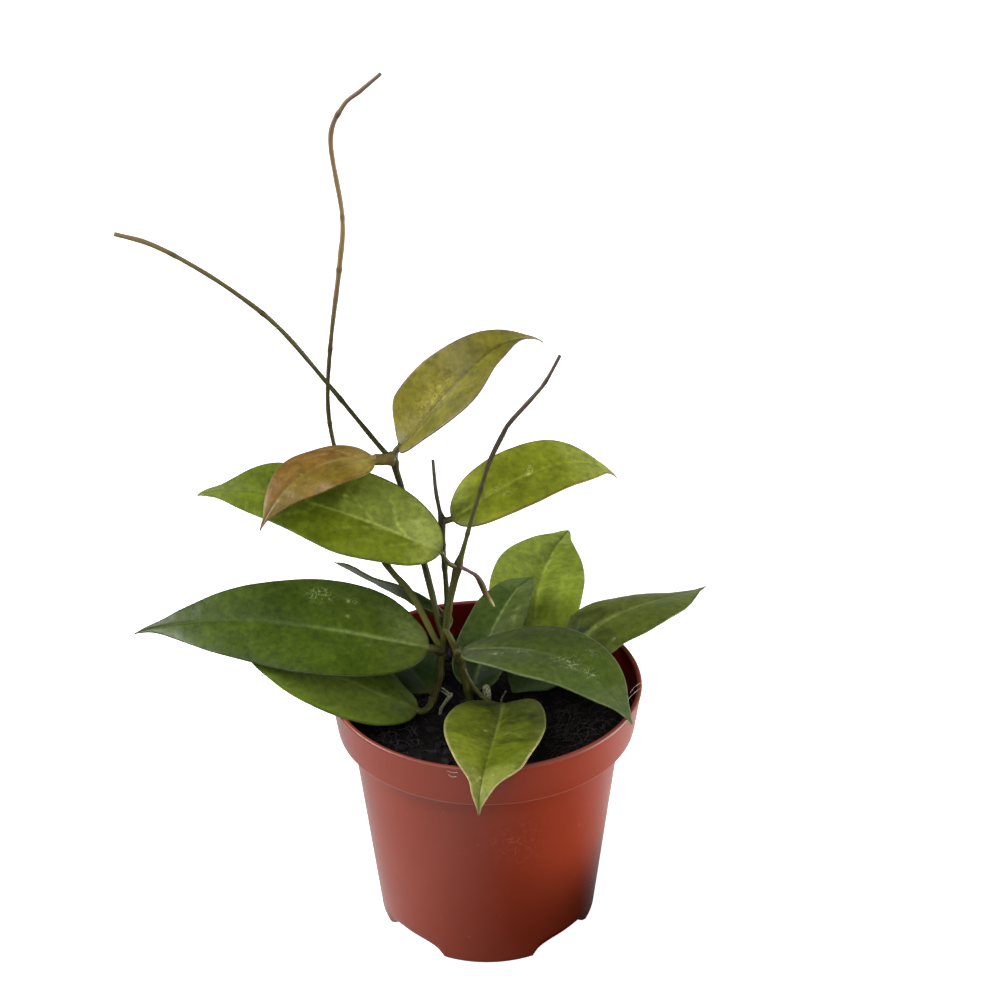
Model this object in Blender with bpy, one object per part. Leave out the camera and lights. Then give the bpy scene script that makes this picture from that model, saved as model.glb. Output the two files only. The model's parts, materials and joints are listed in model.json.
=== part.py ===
"""Potted hoya: a climbing house plant with thick waxy leaves, in a moulded nursery pot.

Every size below is in millimetres and degrees; meshes are written in metres, +Z up.
The origin is the middle of the pot's flat base, which stands on z = 0.
"""
import math

import bpy
import numpy as np

MM = 0.001
CLEARANCE = 0.3                 # between neighbouring pieces

# Pot: a 10.5 cm injection-moulded nursery pot.
POT_HEIGHT = 92.0
RIM_RADIUS = 52.5
RIM_BAND_HEIGHT = 15.6          # the wider band round the top
BAND_FOOT_RADIUS = 50.4
WALL_TOP_RADIUS = 45.9          # just under the band, which steps out over it
BASE_RADIUS = 37.5
WALL = 1.1
LIP_BEAD = 0.9                  # half thickness of the rounded lip
CORNER = 3.0                    # rounded edge between base and wall
ARCH_HEIGHT = 4.5               # raised drainage arches between the four feet
ARCH_HALF_ANGLE = 20.0
ARCH_INNER_RADIUS = 13.0        # the middle of the base stays flat on the floor
ARCH_FULL_RADIUS = 20.0
ARCH_FADE_HEIGHT = 9.0          # on the wall, where the arches have run out to a slight wave
ARCH_FADE = 0.15
MID_WALL_HEIGHT = 40.0
STEP_ROUNDING = 0.6             # softened edges where the wall steps out to the band
DRAIN_HOLE_RADIUS = 3.5
DRAIN_HOLE_CIRCLE = 27.0
DRAIN_CUTTER_REACH = (-3.0, 5.0)    # from the arch's crown, through the floor both ways
CUTTER_SIDES = 12
LIP_ANGLES = (-20, 25, 65, 115, 155, 200)    # round the bead, from its outer to its inner side
# Angles within one quarter turn, closer together round the arch in its middle.
QUARTER_ANGLES = (-45, -38, -31, -25, -20, -17, -12, -6, 0, 6, 12, 17, 20, 25, 31, 38)

# Potting mix
SOIL_LEVEL = 80.0
SOIL_RELIEF = 0.7               # lumps of the mix stand this far above and below its level
SOIL_WAVES = (19.0, 21.7, 30.0) # their lengths along x, along y and across both
SOIL_EDGE_DROP = 0.5            # the mix lies a little lower against the wall
SOIL_RINGS = (8.0, 17.0, 26.0, 35.0, 43.0)
ROOTED_DEPTH = 18.0             # length of each stem below the surface
STEM_HOLE_CLEARANCE = 0.4       # round each stem in its hole, and under its foot

# Stems
STEM_SIDES = 8
STEM_STEP = 7.0                 # spacing of the rings along a vine
TWIG_STEP = 3.0                 # and along the short pieces
ROUND_ANGLE = 60                # edges flatter than this are shaded smooth on stems and leaves

# Leaves
BLADE_THICKNESS = 1.1           # along the midrib
MARGIN_THICKNESS = 0.75
TIP_THICKNESS = 0.65
TIP_HALF_WIDTH = 0.4
BASE_ROUNDNESS = 0.55           # power of the outline at the base: 0.5 is a round end
LOBE_END = 0.35                 # the base lobes have run out at this share of the length
BLADE_STATIONS = (0.03, 0.09, 0.17, 0.27, 0.38, 0.49, 0.6, 0.7, 0.79, 0.87, 0.93, 0.97, 1.0)
ACROSS = (-1.0, -0.5, 0.0, 0.5, 1.0)
PETIOLE_RINGS = 4
PETIOLE_HANDLE = 0.45           # how straight the petiole runs into the midrib

# Vines as (x, y, z, radius) along each one, upwards or outwards from its foot.
VINE_ROUTES = {
    "vine_main": [
        (-18.8, -1.5, 81.5, 1.4), (-17.8, -1.2, 85, 1.5), (-15.8, -0.5, 92, 1.3), (-15, 0, 99, 1.3),
        (-14.7, 0, 103, 1.3), (-14.4, 0, 106.5, 1.2), (-13.6, 0.3, 110.5, 1.2), (-12.9, 0.5, 114, 1.2),
        (-11.3, 1, 123.5, 1.2), (-8.9, 2, 134, 1.5), (-7.4, 1.5, 139.5, 1.0), (-5.5, 1, 147, 0.95),
        (-3.8, 0.7, 154, 0.95), (-1.2, 0.5, 163, 0.95), (2, 1, 173.5, 0.95), (5.8, 2.5, 182, 1.0),
        (8.2, 3, 186, 1.0), (16, 5, 194, 0.85), (19.8, 6, 198.7, 0.8), (24.2, 7, 207, 0.6),
    ],
    "vine_left": [
        (-15.3, 1.9, 112, 1.1), (-17.9, 4.8, 123.4, 1.1), (-20.1, 8, 132, 1.1), (-24, 13.6, 145.7, 1.1),
        (-27.2, 16.2, 156.3, 1.1), (-28.7, 15, 163, 1.1), (-29.4, 12, 169, 1.5), (-32.3, 12, 171.7, 1.0),
        (-49, 10, 197, 0.9), (-62.7, 8, 216.7, 0.9), (-75.5, 6, 229.5, 0.85), (-88.5, 4, 239.5, 0.8),
        (-100, 2, 247, 0.75), (-110, 0, 251, 0.6),
    ],
    "vine_tall": [
        (-16.7, -0.4, 108, 1.2), (-20.7, 2, 116, 1.2), (-25.2, 5, 123.5, 1.4), (-33, 9, 132.2, 1.1),
        (-44.1, 19.5, 150, 1.0), (-49.1, 22.5, 168.6, 0.95), (-50.4, 21.5, 185.7, 0.9),
        (-48.3, 20, 207.5, 0.85), (-44.2, 18, 234.5, 0.95), (-42.5, 16, 250.5, 0.8),
        (-44.8, 12, 275.5, 0.75), (-40.7, 10, 286.5, 0.85), (-35.4, 9, 291.7, 0.7), (-29.3, 8, 297, 0.55),
    ],
    "vine_middle": [
        (-13.1, 2.9, 114.5, 0.95), (-12.7, 4.8, 121, 0.9), (-13.3, 5.8, 132.7, 0.9),
        (-13.7, 6.8, 139.7, 0.9), (-13.9, 7.5, 148.3, 1.3), (-14.3, 7.5, 152.3, 0.8),
        (-15.3, 8, 159.5, 0.65), (-16.4, 8.5, 170, 0.45),
    ],
    "vine_right": [
        (-5.5, 2.5, 81.5, 1.3), (-6.5, 1.5, 86.4, 1.2), (-7.7, 0, 94.6, 1.25), (-8.4, -0.8, 98.6, 1.5),
        (-8.8, -1.2, 101.3, 2.0), (-10.2, -1.3, 105, 1.2), (-11.8, -1.2, 109, 1.1),
    ],
    "vine_hidden": [
        (27, 21, 81.5, 1.2), (26.4, 19.6, 84.5, 1.3), (24.6, 15.4, 91.5, 1.5), (24, 14.5, 94, 0.8),
    ],
}
ROOTED_VINES = ("vine_main", "vine_right", "vine_hidden")

# The reddish side shoot, its folded first leaves making the thicker stretch.
SHOOT_ROUTE = [
    (-6.9, 0.4, 134.4, 0.6), (-4.9, 0, 133.4, 0.65), (-2.7, -0.2, 131.8, 1.0), (-1, -0.2, 128.5, 1.6),
    (0.2, -0.2, 125.1, 1.5), (1.6, 0, 122.5, 0.8), (2.9, 0, 120.2, 0.4),
]

# Cut ends of old petioles that stand in the mix.
STUB_ROUTES = {
    "stub_cut": [(0.4, 1.2, 81.5, 1.4), (0.2, 1.2, 86, 1.4), (0, 1.2, 87.8, 1.2), (0, 1.2, 88.4, 0.7)],
    "stub_forked": [(-15.4, -3.2, 81.5, 0.7), (-13.9, -3.4, 84.6, 0.7), (-11.8, -3.4, 88, 0.9),
                    (-13.3, -3.5, 89.7, 0.7), (-14.7, -3.6, 91, 0.6)],
    "sprig_dry": [(5.2, 2.4, 81.5, 0.4), (5.8, 2.4, 83.4, 0.4), (6.9, 2.4, 85.4, 0.35)],
}

# Leaves.  `grows_from` names the vine and the point of its route where the petiole leaves it;
# `base` and `tip` are the ends of the blade's midrib.  `arch` bows the midrib upwards and
# `sway` sideways, to the right seen from the base; `lean` moves its highest point towards the
# tip.  `roll` turns the blade round the midrib and `twist` turns the tip against the base.
# `fold` raises both halves from the midrib, `droop` curls their margins down again, `widest`
# is the share of the length at the full width, and `lobe` is how far the base lobes reach
# back.  `stalk` is a petiole's radius and `bend` a point it bows towards, where they differ
# from the usual.
LEAVES = {
    "leaf_bronze_left": dict(
        grows_from=("vine_left", 6), base=(-35.2, 9.5, 170), tip=(-71, -12, 156), width=25.5,
        arch=6.5, lean=0, sway=4.3, roll=-8, twist=-24, fold=5, droop=0.12, widest=0.29, lobe=1),
    "leaf_olive_upper": dict(
        grows_from=("vine_left", 6), base=(-27.2, 13.2, 172.5), tip=(19.7, 36, 199), width=26, arch=13,
        lean=0.25, sway=7, roll=24, twist=4, fold=24, droop=0.03, widest=0.3, lobe=2),
    "leaf_green_left": dict(
        grows_from=("vine_main", 9), base=(-14, -3, 142.8), tip=(-94, 13.5, 155.3), width=33, arch=6,
        lean=0.28, sway=1.5, roll=-26, twist=-1, fold=14, droop=0.12, widest=0.36, lobe=0),
    "leaf_lime_right": dict(
        grows_from=("vine_middle", 4), base=(-10.6, 8, 148.8), tip=(45, 35.5, 149.2), width=25, arch=12,
        lean=0.15, sway=3, roll=19, twist=0, fold=11, droop=0.16, widest=0.36, lobe=1.5),
    "leaf_low_left": dict(
        grows_from=("vine_main", 4), base=(-18.8, -3, 106), tip=(-118, 8, 106), width=40, arch=7.5,
        lean=0.16, sway=-1, roll=-24, twist=-27, fold=13, droop=0.14, widest=0.31, lobe=0),
    "leaf_lowest_left": dict(
        grows_from=("vine_main", 1), base=(-23, -8, 84.6), tip=(-86, 1, 106.8), width=32, arch=2.5,
        lean=0.2, sway=-1, roll=-7, twist=2, fold=10, droop=0.13, widest=0.37, lobe=0.5),
    "leaf_edge_on_back": dict(
        grows_from=("vine_main", 6), base=(-13, 7.5, 111.5), tip=(-53, 50, 108.5), width=27, arch=1.6,
        lean=0.13, sway=-2.5, roll=46, twist=-17, fold=13, droop=0.14, widest=0.38, lobe=2.5),
    "leaf_drooping_right": dict(
        grows_from=("vine_right", 4), base=(-7.9, -5, 106), tip=(46.4, -38, 98.5), width=38, arch=8,
        lean=0.15, sway=-6.5, roll=-3, twist=27, fold=12, droop=0.15, widest=0.33, lobe=1),
    "leaf_far_right": dict(
        grows_from=("vine_hidden", 2), base=(28, 8, 92.2), tip=(78.7, 48, 99), width=29, arch=11.5,
        lean=-0.3, sway=4, roll=-8, twist=-16, fold=9, droop=0.19, widest=0.3, lobe=3),
    "leaf_heart_front": dict(
        grows_from=("vine_right", 3), stalk=0.75, bend=(-3.5, -4, 82), base=(5.5, -6, 85.3),
        tip=(-2.6, -70, 86.5), width=32, arch=9, lean=0.64, sway=-0.5, roll=-2, twist=-12, fold=20,
        droop=0.06, widest=0.42, lobe=5),
    "leaf_rear_light": dict(
        grows_from=("vine_hidden", 2), base=(18.1, 20, 93.8), tip=(31.4, 85, 102), width=33, arch=1,
        lean=0, sway=-5, roll=0, twist=9, fold=19, droop=0.07, widest=0.38, lobe=3.5),
    "leaf_upright_dark": dict(
        grows_from=("vine_right", 0), base=(-4.8, 6.4, 83.6), tip=(17.3, 48, 103), width=21.5, arch=8.8,
        lean=0.1, sway=0, roll=-1, twist=-3, fold=18, droop=0.08, widest=0.37, lobe=3),
    "leaf_low_back": dict(
        grows_from=("vine_main", 1), base=(-18.8, 4, 84.2), tip=(-35, 34, 87), width=21, arch=3,
        lean=0.1, sway=-2, roll=0, twist=0, fold=12, droop=0.08, widest=0.38, lobe=1.5),
    "leaf_low_right": dict(
        grows_from=("vine_hidden", 1), base=(23.6, 16.5, 84.8), tip=(9, 3.5, 84), width=22, arch=1.5,
        lean=0, sway=0, roll=0, twist=0, fold=12, droop=0.08, widest=0.4, lobe=1.5),
}
LEAF_COLOURS = {
    "leaf_bronze_left": "93702C", "leaf_olive_upper": "868030", "leaf_green_left": "5F7A24",
    "leaf_lime_right": "6E8C16", "leaf_low_left": "41601C", "leaf_lowest_left": "3F5A1E",
    "leaf_edge_on_back": "33401C", "leaf_drooping_right": "3E5A2A", "leaf_far_right": "4A6024",
    "leaf_heart_front": "5E7416", "leaf_rear_light": "78903A", "leaf_upright_dark": "34523A",
    "leaf_low_back": "243C1E", "leaf_low_right": "243C1E",
}
VINE_COLOURS = {
    "vine_main": "4A4424", "vine_left": "3E4020", "vine_tall": "5A5228",
    "vine_middle": "34351E", "vine_right": "4C4A20", "vine_hidden": "4A4424",
}
STUB_COLOURS = {"stub_cut": "A6A48C", "stub_forked": "9C9A80", "sprig_dry": "8C8C80"}


# ---------------------------------------------------------------- scene helpers

def remove_all_objects():
    for old in list(bpy.data.objects):
        bpy.data.objects.remove(old, do_unlink=True)


def linear_colour(hex_colour):
    channels = [int(hex_colour[i:i + 2], 16) / 255 for i in (0, 2, 4)]
    linear = [c / 12.92 if c <= 0.04045 else ((c + 0.055) / 1.055) ** 2.4 for c in channels]
    return (*linear, 1.0)


def material(name, hex_colour, roughness):
    made = bpy.data.materials.new(name)
    made.use_nodes = True
    shader = made.node_tree.nodes["Principled BSDF"]
    shader.inputs["Base Color"].default_value = linear_colour(hex_colour)
    shader.inputs["Roughness"].default_value = roughness
    shader.inputs["Metallic"].default_value = 0.0
    return made


def add_piece(name, points, faces, finish, parent, origin):
    """Makes one object whose origin is `origin`, from points in the plant's own frame."""
    origin = np.array(origin, float)
    mesh = bpy.data.meshes.new(name)
    mesh.from_pydata([tuple(p) for p in (np.array(points) - origin) * MM], [], faces)
    mesh.update()
    piece = bpy.data.objects.new(name, mesh)
    piece.location = tuple(origin * MM)
    piece.parent = parent
    mesh.materials.append(finish)
    bpy.context.scene.collection.objects.link(piece)
    return piece


def shade_round(piece, sharp_angle):
    piece.data.shade_smooth()
    piece.data.set_sharp_from_angle(angle=math.radians(sharp_angle))


def cut_with(piece, cutters):
    """Subtracts upright cylinders, given as (x, y, bottom, top, radius)."""
    tools = bpy.data.collections.new(piece.name + "_cutters")
    bpy.context.scene.collection.children.link(tools)
    for number, (x, y, bottom, top, radius) in enumerate(cutters):
        ring = [(x + radius * math.cos(a), y + radius * math.sin(a))
                for a in np.linspace(0, math.tau, CUTTER_SIDES, endpoint=False)]
        points = [(px, py, z) for z in (bottom, top) for px, py in ring]
        faces = [(i, (i + 1) % CUTTER_SIDES, (i + 1) % CUTTER_SIDES + CUTTER_SIDES, i + CUTTER_SIDES)
                 for i in range(CUTTER_SIDES)]
        faces += [tuple(reversed(range(CUTTER_SIDES))), tuple(range(CUTTER_SIDES, 2 * CUTTER_SIDES))]
        mesh = bpy.data.meshes.new(f"{piece.name}_cutter_{number}")
        mesh.from_pydata([tuple(np.array(p) * MM) for p in points], [], faces)
        cutter = bpy.data.objects.new(mesh.name, mesh)
        cutter.hide_render = True
        cutter.display_type = "WIRE"
        tools.objects.link(cutter)
    cut = piece.modifiers.new("holes", "BOOLEAN")
    cut.operation = "DIFFERENCE"
    cut.operand_type = "COLLECTION"
    cut.collection = tools
    cut.solver = "EXACT"


def unit(vector):
    return vector / np.linalg.norm(vector, axis=-1, keepdims=True)


# ---------------------------------------------------------------- pot and potting mix

def turn_angles():
    """Angles round the pot, in radians; the four arches are centred on its diagonals."""
    return [math.radians(45 + 90 * quarter + a) for quarter in range(4) for a in QUARTER_ANGLES]


def arch_lift(angle, radius):
    """How far the base is raised at this place by its drainage arch."""
    off_centre = math.degrees(angle) % 90 - 45
    share = abs(off_centre) / ARCH_HALF_ANGLE
    if share >= 1:
        return 0.0
    reach = (radius - ARCH_INNER_RADIUS) / (ARCH_FULL_RADIUS - ARCH_INNER_RADIUS)
    reach = min(max(reach, 0.0), 1.0)
    return ARCH_HEIGHT * math.sqrt(1 - share ** 3) * reach


def wall_radius(z, inset):
    """Radius of the plain tapered wall below the band, moved in by `inset`."""
    band_foot = POT_HEIGHT - RIM_BAND_HEIGHT
    return BASE_RADIUS + (WALL_TOP_RADIUS - BASE_RADIUS) * z / band_foot - inset


def band_radius(z, inset):
    band_foot = POT_HEIGHT - RIM_BAND_HEIGHT
    return BAND_FOOT_RADIUS + (RIM_RADIUS - BAND_FOOT_RADIUS) * (z - band_foot) / RIM_BAND_HEIGHT - inset


def outer_profile():
    """(radius, height, share of the arch's lift) from the base's middle up to the lip."""
    band_foot = POT_HEIGHT - RIM_BAND_HEIGHT
    return [
        (ARCH_INNER_RADIUS, 0, 1), (ARCH_FULL_RADIUS, 0, 1), (BASE_RADIUS - CORNER, 0, 1),
        (BASE_RADIUS - 0.3 * CORNER, 0.3 * CORNER, 1), (wall_radius(CORNER, 0), CORNER, 1),
        (wall_radius(ARCH_FADE_HEIGHT, 0), ARCH_FADE_HEIGHT, ARCH_FADE),
        (wall_radius(MID_WALL_HEIGHT, 0), MID_WALL_HEIGHT, 0),
        (wall_radius(band_foot, 0), band_foot - STEP_ROUNDING, 0),
        (wall_radius(band_foot, -STEP_ROUNDING), band_foot, 0),
        (band_radius(band_foot, STEP_ROUNDING), band_foot, 0),
        (band_radius(band_foot + STEP_ROUNDING, 0), band_foot + STEP_ROUNDING, 0),
    ]


def lip_profile():
    """The rounded bead at the top of the rim, from its outer to its inner side."""
    middle = RIM_RADIUS - LIP_BEAD
    centre_height = POT_HEIGHT - LIP_BEAD
    return [
        (middle + LIP_BEAD * math.cos(a), centre_height + LIP_BEAD * math.sin(a), 0)
        for a in map(math.radians, LIP_ANGLES)
    ]


def inner_profile(inset):
    """The pot's inside from the rim down to the floor's middle, moved inwards by `inset`."""
    inwards = WALL + inset
    ledge = POT_HEIGHT - RIM_BAND_HEIGHT + inwards
    floor_corner = CORNER + STEP_ROUNDING
    return [
        (band_radius(ledge, inwards), ledge, 0),
        (wall_radius(ledge, inwards), ledge - STEP_ROUNDING, 0),
        (wall_radius(MID_WALL_HEIGHT, inwards), MID_WALL_HEIGHT, 0),
        (wall_radius(ARCH_FADE_HEIGHT, inwards), ARCH_FADE_HEIGHT, ARCH_FADE),
        (wall_radius(CORNER, inwards), floor_corner + inset, 1),
        (BASE_RADIUS - floor_corner - inset, inwards, 1),
        (ARCH_FULL_RADIUS, inwards, 1), (ARCH_INNER_RADIUS, inwards, 1),
    ]


def revolve(profile, bottom_height, top_height):
    """A closed turned solid: the profile runs from the bottom's middle round to the top's.

    Every facet is split from its inner to its outer ring in the same turning sense, so that
    neighbouring skins stay parallel over the arches.
    """
    angles = turn_angles()
    points = [(0, 0, bottom_height)]
    for radius, height, share in profile:
        for angle in angles:
            lift = share * arch_lift(angle, radius)
            points.append((radius * math.cos(angle), radius * math.sin(angle), height + lift))
    points.append((0, 0, top_height))
    count = len(angles)
    faces = [(0, 1 + (i + 1) % count, 1 + i) for i in range(count)]
    for row in range(len(profile) - 1):
        here, there = 1 + row * count, 1 + (row + 1) * count
        widening = profile[row + 1][0] >= profile[row][0]
        for i in range(count):
            after = (i + 1) % count
            if widening:
                faces.append((here + i, here + after, there + after))
                faces.append((here + i, there + after, there + i))
            else:
                faces.append((here + i, here + after, there + i))
                faces.append((here + after, there + after, there + i))
    last = 1 + (len(profile) - 1) * count
    top = len(points) - 1
    faces += [(last + i, last + (i + 1) % count, top) for i in range(count)]
    return points, faces


def make_pot(parent):
    profile = outer_profile() + lip_profile() + inner_profile(0.0)
    points, faces = revolve(profile, 0.0, WALL)
    plastic = material("terracotta_coloured_plastic", "7A3328", 0.38)
    pot = add_piece("pot", points, faces, plastic, parent, (0, 0, 0))
    holes = []
    for quarter in range(4):
        angle = math.radians(45 + 90 * quarter)
        x, y = DRAIN_HOLE_CIRCLE * math.cos(angle), DRAIN_HOLE_CIRCLE * math.sin(angle)
        low, high = (ARCH_HEIGHT + reach for reach in DRAIN_CUTTER_REACH)
        holes.append((x, y, low, high, DRAIN_HOLE_RADIUS))
    cut_with(pot, holes)
    shade_round(pot, 40)
    return pot


def soil_height(x, y):
    """The lumpy top of the mix, from a few crossed waves."""
    along_x, along_y, across = (math.tau / length for length in SOIL_WAVES)
    waves = math.sin(along_x * x + 0.9) * math.cos(along_y * y - 0.4)
    waves += 0.5 * math.sin(across * (x + y) + 2.0)
    return SOIL_LEVEL + SOIL_RELIEF * waves / 1.5


def make_potting_mix(parent, stem_feet):
    profile = list(reversed(inner_profile(CLEARANCE)))
    edge = band_radius(SOIL_LEVEL, WALL + CLEARANCE)
    profile.append((edge, SOIL_LEVEL - SOIL_EDGE_DROP, 0))
    first_ring = 1 + len(profile) * len(turn_angles())
    profile += [(radius, SOIL_LEVEL, 0) for radius in reversed(SOIL_RINGS)]
    points, faces = revolve(profile, WALL + CLEARANCE, SOIL_LEVEL)
    points = [(x, y, soil_height(x, y)) if i >= first_ring else (x, y, z)
              for i, (x, y, z) in enumerate(points)]
    mix = material("potting_mix", "15110F", 0.95)
    soil = add_piece("potting_mix", points, faces, mix, parent, (0, 0, 0))
    foot, above = SOIL_LEVEL - ROOTED_DEPTH, SOIL_LEVEL + 5
    holes = [(x, y, foot - STEM_HOLE_CLEARANCE, above, radius + STEM_HOLE_CLEARANCE)
             for x, y, radius in stem_feet]
    cut_with(soil, holes)
    return soil


# ---------------------------------------------------------------- swept stems

def smooth_route(route, step):
    """Catmull-Rom curve through the given points, sampled about every `step`."""
    knots = np.array(route, float)
    before = 2 * knots[0] - knots[1]
    after = 2 * knots[-1] - knots[-2]
    padded = np.vstack([before, knots, after])
    samples = []
    for a, b, c, d in zip(padded, padded[1:], padded[2:], padded[3:]):
        count = max(1, round(np.linalg.norm(c[:3] - b[:3]) / step))
        for t in np.arange(count) / count:
            samples.append(0.5 * (2 * b + (c - a) * t + (2 * a - 5 * b + 4 * c - d) * t ** 2
                                  + (3 * b - a - 3 * c + d) * t ** 3))
    samples.append(knots[-1])
    return np.array(samples)


def carried_frames(centres, side):
    """Side and up vectors along a curve that turn no more than the curve does."""
    tangents = unit(np.gradient(centres, axis=0))
    sides, ups = [], []
    for tangent in tangents:
        side = unit(side - tangent * (side @ tangent))
        sides.append(side)
        ups.append(np.cross(side, tangent))
    return np.array(sides), np.array(ups)


def tube_faces(rings, sides):
    faces = [tuple(reversed(range(sides)))]
    for ring in range(rings - 1):
        for i in range(sides):
            after = (i + 1) % sides
            faces.append((ring * sides + i, ring * sides + after,
                          (ring + 1) * sides + after, (ring + 1) * sides + i))
    faces.append(tuple(range((rings - 1) * sides, rings * sides)))
    return faces


def make_stem(name, route, finish, parent, rooted, step):
    """A tapering tube along `route`; a rooted one goes on straight down into the mix."""
    samples = smooth_route(route, step)
    if rooted:
        foot = samples[0].copy()
        foot[2] = SOIL_LEVEL - ROOTED_DEPTH
        samples = np.vstack([foot, samples])
    centres, radii = samples[:, :3], samples[:, 3]
    sides, ups = carried_frames(centres, np.array([1.0, 0.0, 0.0]))
    points = []
    for centre, radius, side, up in zip(centres, radii, sides, ups):
        for angle in np.linspace(0, math.tau, STEM_SIDES, endpoint=False):
            points.append(centre + radius * (side * math.cos(angle) - up * math.sin(angle)))
    stem = add_piece(name, points, tube_faces(len(centres), STEM_SIDES), finish, parent, centres[0])
    shade_round(stem, ROUND_ANGLE)
    return stem


# ---------------------------------------------------------------- leaves

def half_width_share(t, widest):
    """Outline of a hoya leaf: rounded base, widest before the middle, long narrow tip."""
    tip_power = BASE_ROUNDNESS * (1 - widest) / widest
    peak = widest ** BASE_ROUNDNESS * (1 - widest) ** tip_power
    return t ** BASE_ROUNDNESS * (1 - t) ** tip_power / peak


def midrib(leaf, t):
    base, tip = np.array(leaf["base"], float), np.array(leaf["tip"], float)
    chord = tip - base
    side = unit(np.cross(chord, (0, 0, 1)))
    up = unit(np.cross(side, chord))
    early, late = 1 + leaf["lean"], 1 - leaf["lean"]
    top = (early / 2) ** early * (late / 2) ** late
    hump = t ** early * (1 - t) ** late / top
    return (base + np.outer(t, chord) + np.outer(leaf["arch"] * hump, up)
            + np.outer(leaf["sway"] * 4 * t * (1 - t), side))


def blade_frames(leaf, stations):
    """Midrib points with their tangent, side and up vectors at each station."""
    fine = np.linspace(0, 1, 201)
    centres = midrib(leaf, fine)
    tangents = unit(np.gradient(centres, axis=0))
    level = unit(np.cross(tangents, (0, 0, 1)))
    upright = np.cross(level, tangents)
    turn = np.radians(leaf["roll"] + leaf["twist"] * (fine - 0.5))[:, None]
    sides = level * np.cos(turn) - upright * np.sin(turn)
    ups = upright * np.cos(turn) + level * np.sin(turn)
    rows = [int(round(t * 200)) for t in stations]
    return centres[rows], tangents[rows], sides[rows], ups[rows]


def petiole_radius(leaf):
    return leaf.get("stalk", 0.6 + 0.018 * leaf["width"])


def petiole_joint(leaf):
    """Where the petiole starts: on the skin of its vine, on the side that faces the blade."""
    vine, knot = leaf["grows_from"]
    route = np.array(VINE_ROUTES[vine], float)
    centre, vine_radius = route[knot, :3], route[knot, 3]
    axis = unit(route[min(knot + 1, len(route) - 1), :3] - route[max(knot - 1, 0), :3])
    towards = unit(np.array(leaf["base"], float) - centre)
    along = towards @ axis
    outwards = unit(towards - axis * along)
    slant = min(abs(along) + 0.2, 1.0)
    return centre + outwards * (vine_radius + CLEARANCE + petiole_radius(leaf) * slant)


def petiole_rings(leaf, base, tangent, side):
    """Centres and frames of the leaf stalk, from its joint to the blade."""
    joint = petiole_joint(leaf)
    reach = np.linalg.norm(base - joint)
    t = np.linspace(0, 1, PETIOLE_RINGS + 1)[:, None]
    handle = np.array(leaf.get("bend", base - tangent * PETIOLE_HANDLE * reach), float)
    centres = (1 - t) ** 2 * joint + 2 * t * (1 - t) * handle + t ** 2 * base
    backward_sides, backward_ups = carried_frames(centres[::-1], side)
    return centres[:-1], backward_sides[:0:-1], -backward_ups[:0:-1]


def leaf_points(leaf):
    """Rings of points from the petiole's joint to the leaf's tip, upper face then lower."""
    bases, tangents, sides, ups = blade_frames(leaf, (0.0,) + BLADE_STATIONS)
    points = []
    stalk_radius = petiole_radius(leaf)
    around = 2 * len(ACROSS)
    ring_angles = [math.pi - math.tau * (k + 0.5) / around for k in range(around)]
    stalk = petiole_rings(leaf, bases[0], tangents[0], sides[0])
    stalk_ends = (np.vstack([stalk[0], bases[:1]]), np.vstack([stalk[1], sides[:1]]),
                  np.vstack([stalk[2], ups[:1]]))
    for centre, side, up in zip(*stalk_ends):
        for angle in ring_angles:
            points.append(centre + stalk_radius * (side * math.cos(angle) + up * math.sin(angle)))
    for t, centre, tangent, side, up in zip(BLADE_STATIONS, bases[1:], tangents[1:], sides[1:], ups[1:]):
        half_width = max(leaf["width"] / 2 * half_width_share(t, leaf["widest"]), TIP_HALF_WIDTH)
        taper = 1 - t ** 3
        upper, lower = [], []
        for s in ACROSS:
            lift = half_width * (math.tan(math.radians(leaf["fold"])) * abs(s) - leaf["droop"] * s * s)
            back = leaf["lobe"] * math.sin(math.pi * min(t / LOBE_END, 1)) * abs(s)
            thickness = MARGIN_THICKNESS + (BLADE_THICKNESS - MARGIN_THICKNESS) * (1 - abs(s))
            thickness = TIP_THICKNESS + (thickness - TIP_THICKNESS) * taper
            middle = centre + side * half_width * s + up * lift - tangent * back
            upper.append(middle + up * thickness / 2)
            lower.append(middle - up * thickness / 2)
        points += upper + lower[::-1]
    return points


def leaf_faces(rings):
    """Triangles between the rings, with the same diagonals on the upper and lower face."""
    sides = 2 * len(ACROSS)
    faces = [tuple(reversed(range(sides)))]
    for ring in range(rings - 1):
        for k in range(sides):
            after = (k + 1) % sides
            here, there = ring * sides, (ring + 1) * sides
            if k < len(ACROSS):
                faces.append((here + k, there + after, there + k))
                faces.append((here + k, here + after, there + after))
            else:
                faces.append((here + k, here + after, there + k))
                faces.append((here + after, there + after, there + k))
    faces.append(tuple(range((rings - 1) * sides, rings * sides)))
    return faces


def make_leaf(name, leaf, finish, parent):
    rings = PETIOLE_RINGS + 1 + len(BLADE_STATIONS)
    blade = add_piece(name, leaf_points(leaf), leaf_faces(rings), finish, parent, petiole_joint(leaf))
    shade_round(blade, ROUND_ANGLE)
    return blade


# ---------------------------------------------------------------- the plant

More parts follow.
